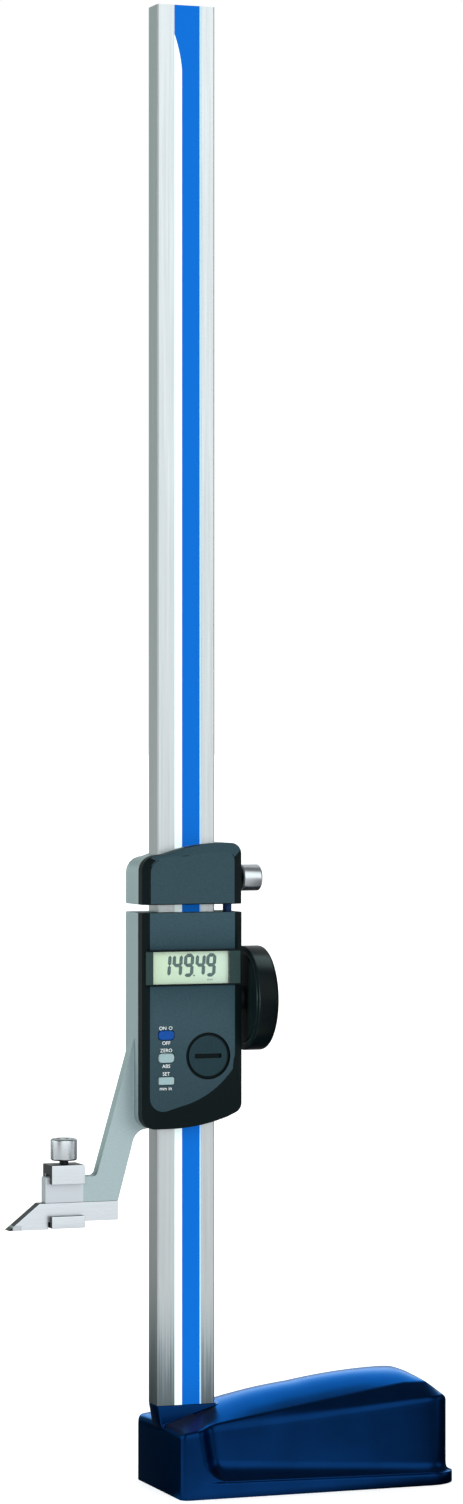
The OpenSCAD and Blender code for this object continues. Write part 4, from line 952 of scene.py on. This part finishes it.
# %% Handwheel and cap
# Phenolic resin comes out of its mould black and half glossy. Its grain is drawn at 1.2 mm.
WHEEL_X, WHEEL_Y, WHEEL_Z = 33.7, -6.5, 276.29
WHEEL_R, WHEEL_DEEP, BORE_R = 29.5, 12, 2.25
wheel_profile = soft_outline([
    (BORE_R, 0, 0), (24.5, 0, 0.6), (25, 0.5, 0.4), (25.6, 0.5, 0.4), (26.2, 0, 0.5), (WHEEL_R, 0, 1.2),
    (WHEEL_R, WHEEL_DEEP, 2.2), (23.5, WHEEL_DEEP, 0.6), (22.5, 9, 0.8), (9, 9, 0.8), (8, 8.8, 0.1),
    (BORE_R, 8.8, 0)])
wheel = turned("wheel", wheel_profile, (WHEEL_X, WHEEL_Y, WHEEL_Z), (1, 0, 0), 128)
wheel_black = grained("wheel_phenolic", "#030708", "#060b0c", 0.28, 1.2, 0.05)
paint(wheel_black, wheel)
stands_for(wheel, "handwheel", "wheel_plastic", "handwheel")
# Two lamps draw its black rim: one overhead for the round of the rim, and one on the left for a thin line
# along its edge.
COOL, WHEEL_AIM = (0.75, 1, 1), (0.04, 0, 0.276)
flagged_lamp("rim_light", (0.55, 0, 1.7), 0.9, 24, WHEEL_AIM, wheel, COOL)
flagged_lamp("edge_light", (-1.36, -0.5, 0.28), 0.5, 60, WHEEL_AIM, wheel, COOL)
cap = eased_copy("wheel_cap", "wheel_cap_eased", 0.15)
paint(wheel_black, cap)
stands_for(cap, "handwheel", "wheel_plastic", "wheel_cap")

# %% Knobs
KNOB_R, STUD_R = 7.5, 2.5


def knob(name, length, centre, axis):
    """A plain turned knob with a broken edge at both ends, a dished face and a bore for its screw."""
    dish = length - 0.35
    profile = soft_outline([(STUD_R, 0, 0), (6.8, 0, 0.2), (KNOB_R, 0.7, 0.3), (KNOB_R, length - 0.9, 0.3),
                            (6.6, length, 0.3), (5.2, length, 0.2), (4.8, dish, 0.2)], 3)
    return turned(name, profile + [(0, dish), (0, 6), (STUD_R, 6)], centre, axis, 96)


CLAMP_X = 35
clamp_knob = knob("clamp_knob_turned", 11.4, (CLAMP_X, 0, 343.99), (1, 0, 0))
scriber_knob = knob("stirrup_knob_turned", 12.1, (-69.6, 0, 187.49), (0, 0, 1))
print("knobs with", len(clamp_knob.data.polygons), "faces each")

# %% Knobs: chrome
# Bright chrome over turned steel: close to a mirror, clouded by what the tool left, drawn 0.7 mm wide. The
# clamp knob's inner end, beside the carriage, gets near-black plastic as painted shade.
chrome, tree, shader, place = new_finish("turned_chrome", Metallic=1.0)
cloud = put(tree, "TexNoise", {"Vector": place, "Scale": per_mm(0.7), "Detail": 2})
tint = put(tree, "ValToRGB", {"Fac": cloud.outputs["Fac"]}, ((0, "#a8aeb2"), (1, "#b1b6ba")))
tree.links.new(tint.outputs["Color"], shader.inputs["Base Color"])
dull = put(tree, "MapRange", {"Value": cloud.outputs["Fac"], "To Min": 0.25, "To Max": 0.28})
tree.links.new(dull.outputs["Result"], shader.inputs["Roughness"])
paint(chrome, clamp_knob, scriber_knob)
clamp_knob.data.materials.append(shell_abs)
# Painted shade: the inner end at the carriage takes the near-black plastic.
for face in clamp_knob.data.polygons:
    face.material_index = 1 if face.normal.x < -0.8 and face.center.x < (CLAMP_X + 1) * MM else 0
stands_for(clamp_knob, "clamp_screw", "chrome", "clamp_knob")
stands_for(scriber_knob, "stirrup_screw", "chrome", "stirrup_knob")

# %% Fine-adjustment screw
# Blued steel: heat and salts leave a thin deep blue skin that hides most of the metal.
SCREW_R, ROOT_R, SCREW_FOOT, PITCH, TURNS = 2.5, 2.12, -12, 0.8, 34
thread = [(1.4, SCREW_FOOT), (1.4, -9.4), (SCREW_R, -9.4), (SCREW_R, 40.5)]
for i in range(TURNS):
    z = 40.7 + i * PITCH
    thread += [(SCREW_R, z), (SCREW_R, z + 0.12), (ROOT_R, z + 0.4), (ROOT_R, z + 0.46)]
thread += [(2.3, 67.9), (0, 68.1), (0, SCREW_FOOT)]
screw_z = 126.8 + READING + 13.5
screw = turned("fine_screw", thread, (25, WHEEL_Y, screw_z), (0, 0, 1), 32)
blued = grained("blued_steel", "#12305c", "#173a6a", 0.45, 1.0, 0.15, metallic=0.3)
paint(blued, screw)
stands_for(screw, "spindle", "blued_steel", "spindle")

# %% [markdown]
# ## Scriber and its clamp
# The clamp is a ground steel stirrup around the tongue of the arm, and the scriber is a hardened steel bar
# with a carbide point. They are copies of their nodes with broken edges, and they shine more than the arm.

# %% Scriber, tip and stirrup
stirrup = eased_copy("scriber_stirrup", "stirrup_eased", 0.35)
scriber = eased_copy("scriber", "scriber_eased", 0.25)
tip = eased_copy("carbide_tip", "carbide_tip_eased", 0.12)
print("faces of stirrup, scriber and tip:", *(len(piece.data.polygons) for piece in (stirrup, scriber, tip)))

# %% Scriber and stirrup: lapped steel
# Fine ground and lapped steel: brighter than the column, with faint marks along its length, drawn 0.8 mm
# wide. The sides that aren't ground get the black oxide finish, partly oxide and partly painted shade.
lapped, tree, shader, place = new_finish("lapped_steel", Metallic=1.0)
stretch = put(tree, "Mapping", {"Vector": place, "Scale": (per_mm(20), per_mm(0.8), per_mm(0.8))})
streak = put(tree, "TexNoise", {"Vector": stretch.outputs["Vector"], "Scale": 1, "Detail": 3})
tint = put(tree, "ValToRGB", {"Fac": streak.outputs["Fac"]}, ((0, "#b4babf"), (1, "#c5cbd0")))
tree.links.new(tint.outputs["Color"], shader.inputs["Base Color"])
dull = put(tree, "MapRange", {"Value": streak.outputs["Fac"], "To Min": 0.34, "To Max": 0.24})
tree.links.new(dull.outputs["Result"], shader.inputs["Roughness"])
oxide_and_shade = grained("black_oxide_and_shade_steel", "#1b1e20", "#26292c", 0.4, 0.6, metallic=0.8)
paint(lapped, stirrup, scriber)
# Painted shade: on stirrup and scriber, the faces that aren't ground take the black oxide finish.
for piece in (stirrup, scriber):
    piece.data.materials.append(oxide_and_shade)
    for face in piece.data.polygons:
        ground_face = abs(face.normal.y) > 0.6 or face.normal.z < -0.8
        face.material_index = 0 if ground_face else 1
stands_for(stirrup, "stirrup", "chrome", "scriber_stirrup")
stands_for(scriber, "scriber", "column_steel", "scriber")

# %% Tip: sintered carbide
# Sintered carbide is lapped as bright as the bar, and goes dark at the very point. Its grain is drawn at
# 0.5 mm.
POINT_X0, POINT_X1 = -100.8, -99.9
carbide, tree, shader, place = new_finish("sintered_carbide", Metallic=1.0, Roughness=0.3)
grain = put(tree, "TexNoise", {"Vector": place, "Scale": per_mm(0.5), "Detail": 2})
axes = put(tree, "SeparateXYZ", {"Vector": place})
ragged = put(tree, "Math", {0: grain.outputs["Fac"], 1: 0.6 * MM, 2: axes.outputs["X"]},
             operation="MULTIPLY_ADD")
to_point = put(tree, "MapRange", {
    "Value": ragged.outputs[0], "From Min": POINT_X0 * MM, "From Max": POINT_X1 * MM})
tint = put(tree, "ValToRGB", {"Fac": to_point.outputs["Result"]}, ((0, "#16191b"), (1, "#a9afb4")))
tree.links.new(tint.outputs["Color"], shader.inputs["Base Color"])
paint(carbide, tip)
stands_for(tip, "scriber", "carbide", "carbide_tip")

# %% [markdown]
# ## Inner and small pieces
# Screws, gears, boards and the battery keep their CAD shapes. Most of them hide inside, but each still
# gets a finish of its own kind, so that the model looks right wherever it is opened.

# %% Finishes for the carried-over nodes
# Turned brass and nickel plate shine; boards, rubber and nylon are dull. Grains are drawn about 1 mm wide.
brass = grained("turned_brass", "#b08d4a", "#c2a05c", 0.3, 0.8, metallic=1.0)
board = grained("glass_epoxy_board", "#12452a", "#185433", 0.45, 1.5)
silicone = grained("silicone_rubber", "#6d7073", "#7a7d80", 0.6, 1.5)
rubber = grained("seal_rubber", "#121314", "#18191a", 0.65, 1.0)
nickel = grained("nickel_steel", "#c2c6c8", "#d2d6d8", 0.25, 1.2, metallic=1.0)
nylon = grained("connector_nylon", "#1a1a1b", "#222324", 0.5, 1.0)
for finish, names in (
    (oxide_and_shade, "column_bolts carriage_back_screws carriage_cover_screws slider_back_screws gib_screws "
            "housing_screws bearing_screws clamp_stud stirrup_stud wheel_bearing"),
    (brass, "spindle_nut clamp_pad gib_strip wheel_gear spindle_gear spindle_bush cell_contact"),
    (board, "scale_strip main_board sensor_board"), (silicone, "key_mat"), (rubber, "battery_seal"),
    (nickel, "coin_cell wheel_shaft wheel_screw spindle_collar"), (nylon, "board_connector"),
):
    paint(finish, *(nodes[name] for name in names.split()))
unfinished = [name for name, node in nodes.items()
              if not node.hide_render and not any(m.use_nodes for m in node.data.materials)]
print("nodes without a finish:", unfinished)
